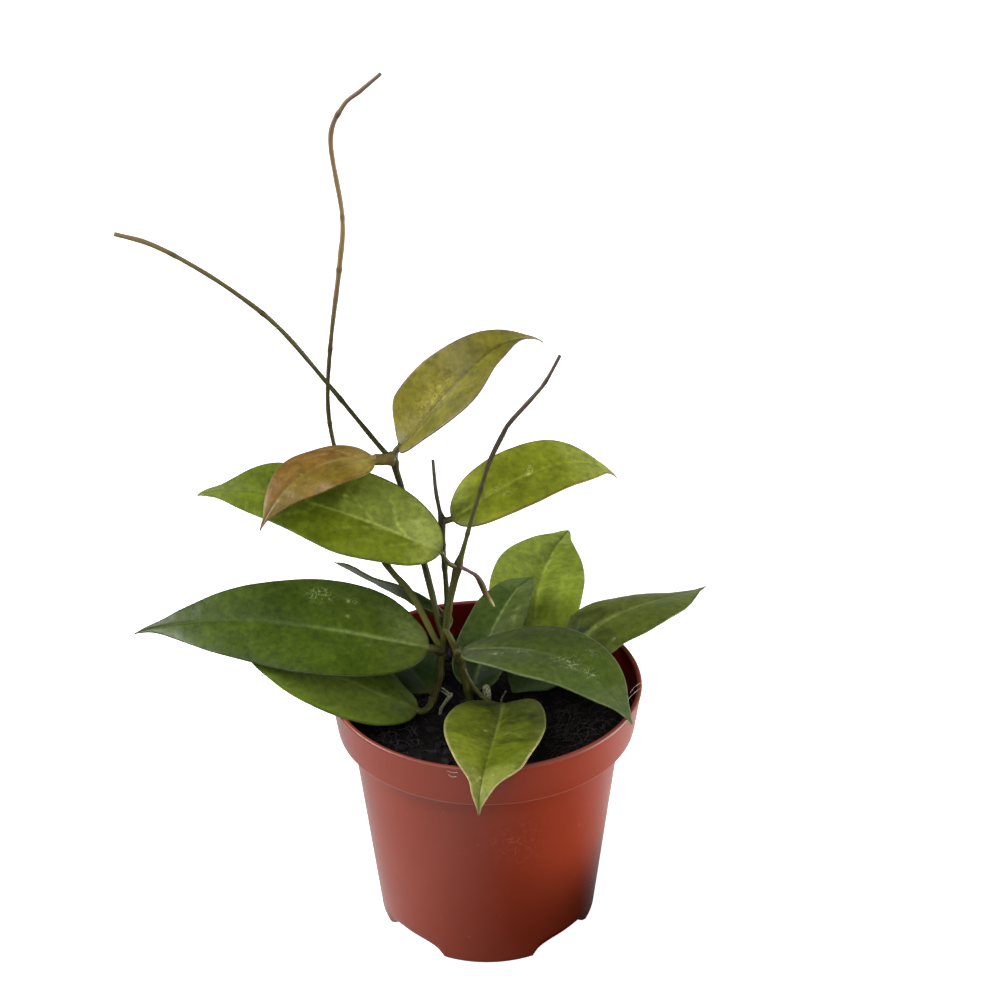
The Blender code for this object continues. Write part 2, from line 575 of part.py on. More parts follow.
def make_plant():
    remove_all_objects()
    plant = bpy.data.objects.new("potted_hoya", None)
    bpy.context.scene.collection.objects.link(plant)
    make_pot(plant)
    feet = [VINE_ROUTES[name][0] for name in ROOTED_VINES]
    feet += [route[0] for route in STUB_ROUTES.values()]
    make_potting_mix(plant, [(x, y, radius) for x, y, z, radius in feet])
    for name, route in VINE_ROUTES.items():
        bark = material(name, VINE_COLOURS[name], 0.55)
        make_stem(name, route, bark, plant, name in ROOTED_VINES, STEM_STEP)
    shoot = material("young_shoot", "5E3A30", 0.5)
    make_stem("young_shoot", SHOOT_ROUTE, shoot, plant, False, TWIG_STEP)
    for name, route in STUB_ROUTES.items():
        make_stem(name, route, material(name, STUB_COLOURS[name], 0.7), plant, True, TWIG_STEP)
    for name, leaf in LEAVES.items():
        make_leaf(name, leaf, material(name, LEAF_COLOURS[name], 0.4), plant)


make_plant()
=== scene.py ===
"""Potted hoya: the finished looks of the plant, its pot and its potting mix.

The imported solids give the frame.  Every leaf, stem, the mix and the pot are made again here as
finer pieces of the same form: veins, rounded margins, bark, bark chips and coir fibres.
Sizes are in millimetres and degrees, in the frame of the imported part; meshes are in metres.
"""

import json
import math
from itertools import product

import bmesh
import bpy
import numpy as np
from mathutils import Matrix, Vector, noise

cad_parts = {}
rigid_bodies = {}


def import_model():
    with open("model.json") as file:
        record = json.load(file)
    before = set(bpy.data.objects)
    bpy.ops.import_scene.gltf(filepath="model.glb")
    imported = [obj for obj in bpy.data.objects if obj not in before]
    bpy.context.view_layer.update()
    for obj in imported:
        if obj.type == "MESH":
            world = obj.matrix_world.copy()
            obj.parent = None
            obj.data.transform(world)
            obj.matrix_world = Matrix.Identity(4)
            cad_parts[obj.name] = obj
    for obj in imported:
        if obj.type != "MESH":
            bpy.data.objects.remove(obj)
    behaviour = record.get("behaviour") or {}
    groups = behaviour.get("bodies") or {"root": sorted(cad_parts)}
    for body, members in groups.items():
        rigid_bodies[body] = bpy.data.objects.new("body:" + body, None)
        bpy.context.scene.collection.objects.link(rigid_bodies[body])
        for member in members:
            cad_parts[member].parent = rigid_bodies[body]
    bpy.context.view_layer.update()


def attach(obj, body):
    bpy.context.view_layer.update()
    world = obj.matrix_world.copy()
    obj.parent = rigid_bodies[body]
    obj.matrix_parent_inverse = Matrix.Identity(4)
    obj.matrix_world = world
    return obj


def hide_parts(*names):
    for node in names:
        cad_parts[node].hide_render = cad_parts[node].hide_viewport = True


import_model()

MM = 0.001

# ---------------------------------------------------------------- stems and leaves, as in the solids

# Vines as (x, y, z, radius) along each one, upwards or outwards from its foot.
VINE_ROUTES = {
    "vine_main": [
        (-18.8, -1.5, 81.5, 1.4), (-17.8, -1.2, 85, 1.5), (-15.8, -0.5, 92, 1.3), (-15, 0, 99, 1.3),
        (-14.7, 0, 103, 1.3), (-14.4, 0, 106.5, 1.2), (-13.6, 0.3, 110.5, 1.2), (-12.9, 0.5, 114, 1.2),
        (-11.3, 1, 123.5, 1.15), (-8.9, 2, 134, 1.5), (-7.4, 1.5, 139.5, 0.85), (-5.5, 1, 147, 0.75),
        (-3.8, 0.7, 154, 0.72), (-1.2, 0.5, 163, 0.72), (2, 1, 173.5, 0.75), (6.1, 2.5, 181.9, 0.85),
        (8.4, 3, 185.8, 0.75), (16, 5, 194, 0.67), (19.8, 6, 198.7, 0.6), (24.2, 7, 207, 0.5),
    ],
    "vine_left": [
        (-15.3, 1.9, 112, 1.1), (-17.9, 4.8, 123.4, 1.1), (-20.1, 8, 132, 1.1), (-24, 13.6, 145.7, 1.1),
        (-27.2, 16.2, 156.3, 1.0), (-28.7, 15, 163, 1.1), (-29.4, 12, 169, 1.5), (-32.3, 12, 171.7, 0.85),
        (-49.2, 10, 196.7, 0.72), (-63, 8, 216.4, 0.74), (-75.7, 6, 229.2, 0.72), (-88.5, 4, 239.5, 0.68),
        (-100, 2, 247, 0.75), (-110, 0, 251, 0.7),
    ],
    "vine_tall": [
        (-16.7, -0.4, 108, 1.1), (-20.7, 2, 116, 1.05), (-25.2, 5, 123.5, 1.2), (-33, 9, 132.2, 0.95),
        (-44.1, 19.5, 150, 0.85), (-49.1, 22.5, 168.6, 0.75), (-50.4, 21.5, 185.7, 0.7),
        (-48.3, 20, 207.5, 0.7), (-44.2, 18, 234.5, 0.85), (-42.7, 16, 250.5, 0.73),
        (-44.9, 12, 275.5, 0.75), (-40.7, 10, 286.5, 0.7), (-35.2, 9, 291.5, 0.62), (-29.1, 8, 296.8, 0.5),
    ],
    "vine_middle": [
        (-13.1, 2.9, 114.5, 0.95), (-12.7, 4.8, 121, 0.9), (-13.3, 5.8, 132.7, 0.9),
        (-13.7, 6.8, 139.7, 0.85), (-13.9, 7.5, 148.3, 1.3), (-14.6, 7.5, 152.3, 0.7),
        (-15.7, 8, 159.5, 0.62), (-16.4, 8.5, 170, 0.55),
    ],
    "vine_right": [
        (-5.5, 2.5, 81.5, 1.3), (-6.5, 1.5, 86.4, 1.2), (-7.7, 0, 94.6, 1.25), (-8.4, -0.8, 98.6, 1.5),
        (-8.8, -1.2, 101.3, 2.0), (-10.2, -1.3, 105, 1.2), (-11.8, -1.2, 109, 1.1),
    ],
    "vine_hidden": [
        (27, 21, 81.5, 1.2), (26.4, 19.6, 84.5, 1.3), (24.6, 15.4, 91.5, 1.5), (24, 14.5, 94, 0.8),
    ],
}
ROOTED_VINES = ("vine_main", "vine_right", "vine_hidden")
# Where a side vine runs into its parent: which end of it, and the point of the parent's axis.
VINE_JOINS = {
    "vine_left": (0, (-14.2, 0.6, 108.5)), "vine_tall": (0, (-14.9, 0.2, 104.5)),
    "vine_middle": (0, (-13.3, 0.8, 111.5)), "vine_right": (-1, (-13.6, 0.2, 112)),
}
# Heights of the small rings where leaves once stood.
VINE_NODES = {
    "vine_main": (93, 147, 163.5, 198.5), "vine_left": (133, 191, 222, 243),
    "vine_tall": (132, 177, 204, 232, 250, 284), "vine_middle": (132, 139.5), "vine_right": (86.5, 94.5),
    "vine_hidden": (),
}
# Bark colours from the foot to the growing end of each vine.
VINE_COLOURS = {
    # vine_main's first colour is partly its own and partly painted shade near the mix.
    "vine_main": ("2A2410", "3A3A14", "4A4C20", "3E3226", "53443E"),
    "vine_left": ("3A3C16", "2A2C14", "34361A", "544C2C", "84714C"),
    "vine_tall": ("5A5C24", "3A3A1A", "443C28", "8C7450", "6A5248"),
    "vine_middle": ("34361A", "2C2E18", "282618", "34302A", "4A463C"),
    "vine_right": ("30320E", "3A3C12", "4A4A1C", "4C4A22", "46461E"),
    "vine_hidden": ("2E2E1A", "34351E", "3A3A20", "3A3A20", "3A3A20"),
}
SHOOT_COLOURS = ("7A6068", "6A4E54", "3E2A26", "6A5226", "B0A878")
STUB_COLOURS = {                # pith and its lighter fibres
    "stub_cut": ("6A6A50", "B4B69A"), "stub_forked": ("4E4E38", "8C8C72"), "sprig_dry": ("4A4C40", "7C7E74"),
}
SHOOT_ROUTE = [
    (-8.6, 1.6, 134.6, 0.55), (-6.9, 0.4, 134.4, 0.6), (-4.9, 0, 133.4, 0.6), (-2.7, -0.2, 131.8, 0.75),
    (-1, -0.2, 128.5, 1.1), (0.2, -0.2, 125.1, 1.05), (1.6, 0, 122.5, 0.7), (2.9, 0, 120.2, 0.35),
]
STUB_ROUTES = {
    "stub_cut": [(0.4, 1.2, 81.5, 1.4), (0.2, 1.2, 86, 1.4), (0, 1.2, 87.8, 1.2), (0, 1.2, 88.4, 0.7)],
    "stub_forked": [(-15.4, -3.2, 81.5, 0.6), (-13.9, -3.4, 84.6, 0.6), (-12.1, -3.4, 87.4, 0.8),
                    (-11.6, -3.4, 88.4, 0.55)],
    "sprig_dry": [(5.2, 2.4, 81.5, 0.35), (5.8, 2.4, 83.4, 0.3), (6.9, 2.4, 85.4, 0.3)],
}
# Short spurs on the stubs.
STUB_SPURS = {
    "stub_cut": [],
    "stub_forked": [[(-12, -3.4, 87.8, 0.4), (-13.6, -3.5, 89.6, 0.32), (-14.9, -3.6, 90.8, 0.25)],
                    [(-12.3, -3.4, 87.2, 0.4), (-14, -3.5, 88.6, 0.3), (-15.1, -3.6, 89.6, 0.22)]],
    "sprig_dry": [],
}
# Pale hairs caught on the rim and under the heart-shaped leaf.
LOOSE_HAIRS = [
    [(46.5, -14, 91.7, 0.08), (49, -12.4, 93.6, 0.08), (51.5, -10, 94.2, 0.05)],
    [(47.8, -9.5, 91.7, 0.08), (49.6, -8, 93.3, 0.07), (51.8, -5.4, 93.1, 0.05)],
    [(-9.2, -52.8, 91.2, 0.08), (-10.8, -53.5, 91.6, 0.07), (-12.4, -53.2, 92, 0.05)],
    [(-9.6, -53, 89.8, 0.08), (-11, -53.6, 90.1, 0.07), (-12.1, -53.3, 90.8, 0.05)],
]

# Leaves: `grows_from` names the vine and the point of its route; the other values set the
# midrib (base, tip, arch, sway, lean), the blade's attitude (roll, twist, fold, droop) and its
# outline (width, widest, lobe), as in the solids.
LEAVES = {
    "leaf_bronze_left": dict(
        grows_from=("vine_left", 6), stalk=1.9, base=(-35.2, 9.5, 170), tip=(-71, -12, 156),
        width=25.5, arch=6.5, lean=0, sway=4.3, roll=-8, twist=-24, fold=5, droop=0.12, widest=0.29, lobe=1),
    "leaf_olive_upper": dict(
        grows_from=("vine_left", 6), base=(-27.2, 13.2, 172.5), tip=(19.7, 36, 199), width=26, arch=13,
        lean=0.25, sway=7, roll=24, twist=4, fold=24, droop=0.03, widest=0.3, lobe=2),
    "leaf_green_left": dict(
        grows_from=("vine_main", 9), stalk=0.8, bend=(-12.5, -1.5, 136.5), base=(-14, -3, 142.8),
        tip=(-94, 13.5, 155.3), width=33, arch=6, lean=0.28, sway=1.5, roll=-26, twist=-1, fold=14,
        droop=0.12, widest=0.36, lobe=0),
    "leaf_lime_right": dict(
        grows_from=("vine_middle", 4), base=(-10.6, 8, 148.8), tip=(45, 35.5, 149.2), width=25, arch=12,
        lean=0.15, sway=3, roll=19, twist=0, fold=11, droop=0.16, widest=0.36, lobe=1.5),
    "leaf_low_left": dict(
        grows_from=("vine_main", 4), base=(-18.8, -3, 106), tip=(-118, 8, 106), width=40, arch=7.5,
        lean=0.16, sway=-1, roll=-24, twist=-27, fold=13, droop=0.14, widest=0.31, lobe=0),
    "leaf_lowest_left": dict(
        grows_from=("vine_main", 1), base=(-23, -8, 84.6), tip=(-86, 1, 106.8), width=32, arch=2.5,
        lean=0.2, sway=-1, roll=-7, twist=2, fold=10, droop=0.13, widest=0.37, lobe=0.5),
    "leaf_edge_on_back": dict(
        grows_from=("vine_main", 6), base=(-13, 7.5, 112.1), tip=(-53, 50, 109), width=27, arch=1.6,
        lean=0.13, sway=-2.5, roll=46, twist=-17, fold=13, droop=0.14, widest=0.38, lobe=2.5),
    "leaf_drooping_right": dict(
        grows_from=("vine_right", 4), base=(-7.9, -5, 106), tip=(46.4, -38, 98.5), width=38, arch=8,
        lean=0.15, sway=-6.5, roll=-3, twist=27, fold=12, droop=0.15, widest=0.33, lobe=1),
    "leaf_far_right": dict(
        grows_from=("vine_hidden", 2), base=(28, 8, 92.2), tip=(78.7, 48, 99), width=29, arch=11.5,
        lean=-0.3, sway=4, roll=-8, twist=-16, fold=9, droop=0.19, widest=0.3, lobe=3),
    "leaf_heart_front": dict(
        grows_from=("vine_right", 3), stalk=0.75, bend=(-2.6, -5, 84.6), base=(5.5, -6, 85.3),
        tip=(-2.6, -70, 86.5), width=32, arch=9, lean=0.64, sway=-0.5, roll=-2, twist=-12, fold=20,
        droop=0.06, widest=0.42, lobe=5),
    "leaf_rear_light": dict(
        grows_from=("vine_hidden", 2), base=(18.1, 20, 93.8), tip=(31.4, 85, 102), width=33, arch=1,
        lean=0, sway=-5, roll=0, twist=9, fold=19, droop=0.07, widest=0.38, lobe=3.5),
    "leaf_upright_dark": dict(
        grows_from=("vine_right", 0), base=(-4.8, 6.4, 83.6), tip=(17.3, 48, 103), width=21.5, arch=8.8,
        lean=0.1, sway=0, roll=-1, twist=-3, fold=18, droop=0.08, widest=0.37, lobe=3),
    "leaf_low_back": dict(
        grows_from=("vine_main", 1), base=(-18.8, 4, 84.2), tip=(-35, 34, 87), width=21, arch=3,
        lean=0.1, sway=-2, roll=0, twist=0, fold=12, droop=0.08, widest=0.38, lobe=1.5),
    "leaf_low_right": dict(
        grows_from=("vine_hidden", 1), base=(23.6, 16.5, 84.8), tip=(9, 3.5, 84), width=22, arch=1.5,
        lean=0, sway=0, roll=0, twist=0, fold=12, droop=0.08, widest=0.4, lobe=1.5),
}

# ---------------------------------------------------------------- finer form of the leaves

BLADE_THICKNESS = 1.1           # along the midrib
MARGIN_THICKNESS = 0.75
TIP_THICKNESS = 0.4
BASE_ROUNDNESS = 0.55           # power of the outline at the base: 0.5 is a round end
LOBE_END = 0.35                 # the base lobes have run out at this share of the length
BLADE_ROWS = 144
BLADE_COLUMNS = 61              # across one face
RIM_POINTS = 3                  # round each margin
PETIOLE_ROWS = 14
MIDRIB_ROUNDING = 0.05          # share of the half width over which the fold is softened
PUCKER = 0.14                   # height of the low swellings between the veins
PUCKER_SIZE = 6.5
MARGIN_WAVE = 0.35
LEAST_HALF_WIDTH = 0.12
RIB_GROOVE = 0.16               # depth of the groove along the midrib
VEIN_GROOVE = 0.06              # depth of the veins in the upper face
VEIN_RIDGE = 0.05               # and their height on the lower one
KEEL_RUN = 0.025                # share of the length over which the stalk melts into the blade
VEIN_POINTS = 24
SIDE_VEIN_REACH = 0.86          # share of the half width
SIDE_VEIN_WIDTH = 0.55
DRIP_TIP = (0, 0.93, 0.06, -0.18)   # every tip is drawn in like this; see `edge` below
FOOT, TIP = -0.2, 1.2           # ends of a zone that runs off the blade's foot or tip

# Looks of each leaf: sRGB colours of its skin.  Sides are -1 and +1, as `across` runs over the blade,
# and 0 is both.  Places are (along, across): 0 to 1 from base to tip, -1 to 1 from margin to margin.
#   zones       (colour, side, from, to, strength): lengths of the blade laid over `main`,
#               partly the leaf's own tones and partly painted sheen and shade
#   rib         how far the midrib shows, and how strongly
#   rim_from    where along the blade the rim's colour sets in
#   flush       (colour, strength) of the sun-flushed band along the margins
#   edge        (side, place, spread, share): where the outline swells or draws in
#   side_veins  (pairs, strength) of the plain ones
#   veins       (width in mm, strength, places) of those that stand out
#   marks       (along, across, radius in mm, strength): pale flecks of the skin
#   scratches   the same, for patches of fine wavy scratches
#   blushes     the same, for blotches in the flush's colour
#   shine       level of the cuticle's gloss
LEAF_LOOKS = {
    "leaf_bronze_left": dict(
        main="68560F", second="72541E", vein="8E7840", rim="6A5422", under="8A7838", rib=(0.45, 0.7),
        flush=("6A4A1C", 0.25), side_veins=(3, 0.35), stalk_colour="5E5226",
        zones=(("9A8A3C", 0, FOOT, 0.17, 0.9), ("6E4E1C", 1, 0.1, TIP, 0.7), ("5E5206", 0, 0.85, TIP, 0.8)),
        edge=((1, 0.3, 0.22, -0.15), (0, 0.94, 0.05, -0.2)),
        veins=((0.5, 0.9, ((0.08, 0.08), (0.15, 0.3), (0.2, 0.4), (0.24, 0.6), (0.3, 0.72))),
               (0.5, 0.7, ((0.05, 0.06), (0.12, 0.2), (0.19, 0.26), (0.27, 0.38), (0.36, 0.48))),
               (0.5, 0.5, ((0.07, -0.06), (0.16, -0.25), (0.26, -0.45), (0.36, -0.6)))),
        marks=((0.5, 0.3, 0.5, 0.4), (0.62, -0.2, 0.4, 0.4)),
        blushes=((0.32, 0.5, 2.5, 0.5), (0.41, -0.1, 2.5, 0.4), (0.7, 0.6, 3.5, 0.4))),
    "leaf_olive_upper": dict(
        main="706A1A", second="7A742A", vein="4E4600", rim="6C6048", under="8A8440", rib=(0.75, 0.8),
        flush=("6E6424", 0.3), side_veins=(4, 0.12), mark_colour="B0A44A",
        zones=(("605E1C", 1, FOOT, TIP, 0.8), ("746C10", 0, FOOT, 0.15, 0.7),
               ("6B6C36", 0, 0.82, TIP, 0.8)),
        edge=((-1, 0.1, 0.11, 0.22), (-1, 0.5, 0.2, -0.03), (1, 0.2, 0.15, -0.18), (1, 0.65, 0.12, -0.26),
              (1, 0.9, 0.14, -0.6)),
        marks=((0.3, -0.22, 3.5, 0.25), (0.26, -0.25, 0.7, 0.9), (0.31, -0.17, 0.6, 0.9),
               (0.36, -0.27, 0.7, 0.8), (0.42, -0.24, 0.6, 0.8)),
        scratches=((0.22, -0.2, 3.0, 0.4), (0.32, -0.2, 3.5, 0.5), (0.42, -0.26, 3.0, 0.4))),
    "leaf_green_left": dict(
        main="5B690E", second="66741E", vein="ABB853", rim="4E5C14", under="7C9448", rib=(0.5, 1.0),
        flush=("5E6A10", 0.2), side_veins=(4, 0.16),
        # The pale zones on side 1 are partly painted sheen.
        zones=(("7E8C34", 1, FOOT, 0.42, 1.0), ("A6B256", 1, FOOT, 0.17, 1.0),
               ("6D7913", -1, FOOT, 0.45, 0.8), ("A0AA4E", 0, FOOT, 0.06, 0.8),
               ("424E00", 0, 0.45, 0.72, 1.0), ("3A4600", 1, 0.45, 0.6, 0.8),
               ("5A6628", 0, 0.85, TIP, 0.8)),
        edge=((1, 0.92, 0.08, -0.3), (1, 0.76, 0.08, 0.1), (-1, 0.2, 0.15, -0.13), (-1, 0.66, 0.2, -0.11)),
        veins=((0.6, 1.0, ((0.15, 0.02), (0.2, 0.2), (0.22, 0.35), (0.25, 0.55), (0.27, 0.62))),
               (0.5, 0.4, ((0.22, 0.0), (0.31, -0.15), (0.38, -0.35), (0.42, -0.5))),
               (0.5, 0.35, ((0.28, 0.03), (0.35, 0.22), (0.42, 0.5))),
               (0.5, 0.3, ((0.08, 0.0), (0.13, -0.2), (0.19, -0.42)))),
        marks=((0.42, 0.27, 0.7, 0.5), (0.425, 0.36, 0.7, 0.6), (0.42, 0.46, 0.6, 0.5))),
    "leaf_lime_right": dict(
        main="768012", second="869024", vein="9CA634", rim="6C5C22", under="8CA040", rib=(1.0, 0.6),
        flush=("747A18", 0.2), side_veins=(5, 0.16), mark_colour="B8C068",
        zones=(("525C04", 0, FOOT, 0.12, 0.9), ("868F38", 0, 0.66, TIP, 0.8)),
        edge=((-1, 0.62, 0.16, 0.12), (-1, 0.15, 0.1, 0.05), (1, 0.28, 0.28, -0.1), (0, 0.75, 0.15, 0.1)),
        veins=((0.4, 0.6, ((0.19, -0.08), (0.23, -0.11), (0.28, -0.1))),
               (0.4, 0.6, ((0.24, 0.22), (0.29, 0.24), (0.34, 0.3)))),
        marks=((0.43, 0.0, 0.6, 0.9), (0.46, -0.2, 0.5, 0.9), (0.44, -0.08, 0.35, 0.6)),
        scratches=((0.44, -0.08, 1.6, 0.8), (0.24, -0.08, 1.5, 0.6), (0.29, 0.26, 1.5, 0.6))),
    "leaf_low_left": dict(
        main="374802", second="435212", vein="6C7A40", rim="2C3A08", under="6C8448", rib=(0.5, 0.9),
        flush=("34440A", 0.3), side_veins=(6, 0.1), mark_colour="8A9860",
        # The greyish zones at the base are painted sheen.
        zones=(("4C5A20", -1, FOOT, 0.12, 0.8), ("62703A", 1, FOOT, 0.13, 1.0),
               ("3E4E12", 1, 0.16, 0.4, 0.6), ("2A3A00", 1, 0.42, 0.62, 0.7), ("32400A", 0, 0.85, TIP, 0.8)),
        edge=((1, 0.55, 0.12, -0.06), (1, 0.9, 0.12, -0.12), (1, 0.05, 0.08, -0.07),
              (-1, 0.75, 0.12, 0.1), (-1, 0.97, 0.04, -0.2)),
        veins=((0.35, 0.7, ((0.36, 0.63), (0.385, 0.65), (0.41, 0.66))),),
        marks=((0.29, 0.6, 0.5, 0.8), (0.28, 0.3, 0.4, 0.7), (0.2, -0.25, 0.4, 0.7),
               (0.52, 0.2, 0.35, 0.4)),
        scratches=((0.385, 0.65, 3.0, 0.9), (0.28, 0.6, 1.5, 0.6))),
    "leaf_lowest_left": dict(
        main="536320", second="4A5812", vein="74883C", rim="4A5C16", under="64803E", rib=(0.6, 0.5),
        flush=("6A8020", 0.35), side_veins=(5, 0.12),
        zones=(("4C5C20", 0, FOOT, 0.12, 0.8), ("384A0C", 1, FOOT, TIP, 0.8)),
        edge=((-1, 0.6, 0.25, 0.2), (-1, 0.2, 0.15, 0.04), (1, 0.08, 0.1, -0.25)),
        marks=((0.4, 0.3, 0.4, 0.4),)),
    "leaf_edge_on_back": dict(
        main="343C10", second="2C340C", vein="4A5620", rim="2A3010", under="3E4C26", rib=(0.6, 0.4),
        flush=("343C10", 0.1), side_veins=(4, 0.1),
        edge=((-1, 0.45, 0.3, -0.35), (1, 0.45, 0.3, -0.4)), shine=0.08),
    "leaf_drooping_right": dict(
        main="44541A", second="3C4C12", vein="6E7C4C", rim="5E6A44", under="60784A", rib=(0.58, 0.8),
        flush=("4A5626", 0.3), side_veins=(5, 0.14), mark_colour="A8B088", shine=0.15,
        zones=(("465426", 1, FOOT, TIP, 0.7), ("56642C", -1, FOOT, 0.2, 0.8),
               ("26320A", 1, FOOT, 0.12, 1.0), ("54603A", 0, 0.82, TIP, 0.8)),
        edge=((1, 0.5, 0.6, -0.04),),
        veins=((0.45, 0.6, ((0.01, -0.02), (0.06, -0.12), (0.13, -0.35))),
               (0.3, 0.9, ((0.53, 0.0), (0.55, 0.07), (0.57, 0.03), (0.59, 0.11), (0.62, 0.14))),
               (0.25, 0.6, ((0.54, 0.1), (0.57, 0.14), (0.6, 0.12))),
               (0.9, 0.3, ((0.25, -0.8), (0.35, -0.82), (0.45, -0.78)))),
        marks=((0.2, 0.45, 0.4, 0.7), (0.25, 0.4, 0.35, 0.6), (0.62, -0.6, 0.4, 0.7)),
        scratches=((0.3, 0.14, 2.5, 0.9), (0.56, 0.06, 3.4, 0.8), (0.7, 0.0, 2.5, 0.5),
                   (0.21, 0.42, 2.0, 0.8), (0.62, -0.6, 1.5, 0.8))),
    "leaf_far_right": dict(
        main="56641A", second="4E5C14", vein="7E8A44", rim="4A5424", under="6A7E40", rib=(0.6, 0.4),
        flush=("565E20", 0.3), side_veins=(4, 0.14), mark_colour="C4C8A6",
        zones=(("515811", -1, FOOT, TIP, 0.8), ("3C4602", 1, FOOT, 0.22, 1.0),
               ("1E2600", -1, FOOT, 0.24, 1.0), ("6A7238", 0, 0.8, TIP, 0.8)),
        edge=((-1, 0.65, 0.25, -0.2), (1, 0.6, 0.2, 0.16), (1, 0.25, 0.06, -0.08)),
        veins=((0.8, 0.7, ((0.12, -0.08), (0.2, -0.08), (0.3, -0.03), (0.42, 0.05), (0.58, 0.1))),
               (0.4, 0.3, ((0.3, -0.05), (0.38, -0.3), (0.48, -0.55)))),
        marks=((0.22, 0.7, 0.5, 0.9),)),
    "leaf_heart_front": dict(
        main="5A6410", second="667020", vein="8A9440", rim="A49868", under="8A9A50", rib=(0.8, 0.4),
        rim_from=0.45,
        flush=("6E743A", 0.25), side_veins=(4, 0.14), mark_colour="B8BA84",
        zones=(("242E00", -1, FOOT, 0.36, 1.0), ("404A06", -1, 0.36, 0.56, 0.9),
               ("7A8424", 1, 0.55, TIP, 0.7), ("2E3A06", 1, FOOT, 0.12, 1.0), ("7E8438", 0, 0.82, TIP, 0.9)),
        edge=((-1, 0.82, 0.07, 0.12), (1, 0.92, 0.06, -0.15)),
        veins=((0.45, 0.6, ((0.45, 0.03), (0.42, -0.1), (0.42, -0.3), (0.45, -0.45), (0.52, -0.6))),
               (0.4, 0.35, ((0.3, 0.05), (0.29, 0.25), (0.33, 0.5), (0.42, 0.7)))),
        marks=((0.39, 0.2, 0.6, 0.9), (0.88, 0.1, 0.4, 0.6), (0.86, -0.35, 0.4, 0.6),
               (0.9, 0.25, 0.35, 0.6), (0.84, 0.4, 0.35, 0.5))),
    "leaf_rear_light": dict(
        main="70801F", second="7C8A30", vein="8C9846", rim="7A8640", under="8CA054", rib=(0.55, 0.2),
        flush=("76842E", 0.25), side_veins=(4, 0.16),
        zones=(("7A8A32", -1, 0.15, TIP, 0.8), ("647418", 1, 0.4, TIP, 0.6),
               ("5C6E04", 0, FOOT, 0.28, 1.0), ("74823A", 0, 0.85, TIP, 0.8)),
        edge=((1, 0.85, 0.12, -0.14), (-1, 0.7, 0.18, 0.12)),
        veins=((0.6, 0.7, ((0.6, 0.03), (0.68, 0.05), (0.76, 0.05))),
               (0.5, 0.5, ((0.68, 0.05), (0.73, 0.16), (0.77, 0.24)))),
        marks=((0.12, 0.1, 2.0, 0.4), (0.7, -0.3, 2.2, 0.35))),
    "leaf_upright_dark": dict(
        main="40521E", second="38491A", vein="7A8A50", rim="4C5A30", under="56704E", rib=(0.85, 0.4),
        flush=("465426", 0.2), side_veins=(4, 0.14), shine=0.15,
        # The dark zone at the base is partly painted shade under the drooping leaf.
        zones=(("48531B", 1, FOOT, TIP, 0.7), ("1C3006", 0, FOOT, 0.28, 1.0), ("5C6A34", 0, 0.74, TIP, 0.8)),
        edge=((-1, 0.42, 0.15, -0.15),),
        veins=((0.5, 0.8, ((0.4, 0.0), (0.55, 0.02), (0.68, 0.02), (0.8, 0.0))),),
        marks=((0.5, 0.6, 1.8, 0.4), (0.56, 0.62, 1.6, 0.35))),
    "leaf_low_back": dict(
        main="1E3008", second="1A2A08", vein="33461C", rim="1E2C10", under="34482C", rib=(0.6, 0.4),
        flush=("1E3008", 0.1), side_veins=(4, 0.1)),
    "leaf_low_right": dict(
        main="42542A", second="384A22", vein="5A6C40", rim="3A4A26", under="34482C", rib=(0.6, 0.4),
        flush=("42542A", 0.1), side_veins=(4, 0.1)),
}

# ---------------------------------------------------------------- pot and potting mix, as in the solids

POT_HEIGHT = 92.0
RIM_RADIUS = 52.5
RIM_BAND_HEIGHT = 15.6
BAND_FOOT = POT_HEIGHT - RIM_BAND_HEIGHT
BAND_FOOT_RADIUS = 50.4
WALL_TOP_RADIUS = 45.9
BASE_RADIUS = 37.5
WALL = 1.1
LIP_BEAD = 0.9
CORNER = 3.0
BAND_EDGE = 0.45                # rounding under the band
ARCH_HEIGHT = 4.5
ARCH_HALF_ANGLE = 20.0
ARCH_INNER_RADIUS = 13.0
ARCH_FULL_RADIUS = 20.0
ARCH_FADE = 7.0                 # height over which the arches run out in the wall
DRAIN_HOLE_RADIUS = 3.5
DRAIN_HOLE_CIRCLE = 27.0
SOIL_LEVEL = 80.0
CLEARANCE = 0.3
POT_COLUMNS = 240
DRILL_SIDES = 40
SCUFF_PLACE = (0.0105, -0.0425, 0.0555)     # metres


# ---------------------------------------------------------------- helpers

def unit(vector):
    """The same direction, of length one."""
    return vector / np.linalg.norm(vector, axis=-1, keepdims=True)


def linear_colour(hex_colour):
    """An sRGB colour as the linear colour that shaders take."""
    channels = [int(hex_colour[i:i + 2], 16) / 255 for i in (0, 2, 4)]
    linear = [c / 12.92 if c <= 0.04045 else ((c + 0.055) / 1.055) ** 2.4 for c in channels]
    return (*linear, 1.0)


def add_node(tree, kind, inputs, output=0, **settings):
    """Adds a node with its settings; `inputs` holds values or the sockets that feed them."""
    made = tree.nodes.new(kind)
    for key, value in settings.items():
        setattr(made, key, value)
    for key, value in inputs.items():
        if isinstance(value, bpy.types.NodeSocket):
            tree.links.new(value, made.inputs[key])
        else:
            made.inputs[key].default_value = value
    return made.outputs[output]


def new_material(name, **values):
    """A Principled material; returns it with its tree and shader."""
    made = bpy.data.materials.new(name)
    made.use_nodes = True
    shader = made.node_tree.nodes["Principled BSDF"]
    for socket, value in values.items():
        shader.inputs[socket.replace("_", " ")].default_value = value
    return made, made.node_tree, shader


def object_place(tree):
    """The place on the piece, in metres from its origin."""
    return add_node(tree, "ShaderNodeTexCoord", {}, output="Object")


def mesh_field(tree, name, output="Fac"):
    """A field that was written on the mesh."""
    return add_node(tree, "ShaderNodeAttribute", {}, output=output, attribute_name=name)


def lumps(tree, place, size, detail, roughness=0.5):
    """Noise with lumps about `size` mm across."""
    return add_node(tree, "ShaderNodeTexNoise",
                    {0: place, "Scale": 1 / (size * MM), "Detail": detail, "Roughness": roughness})


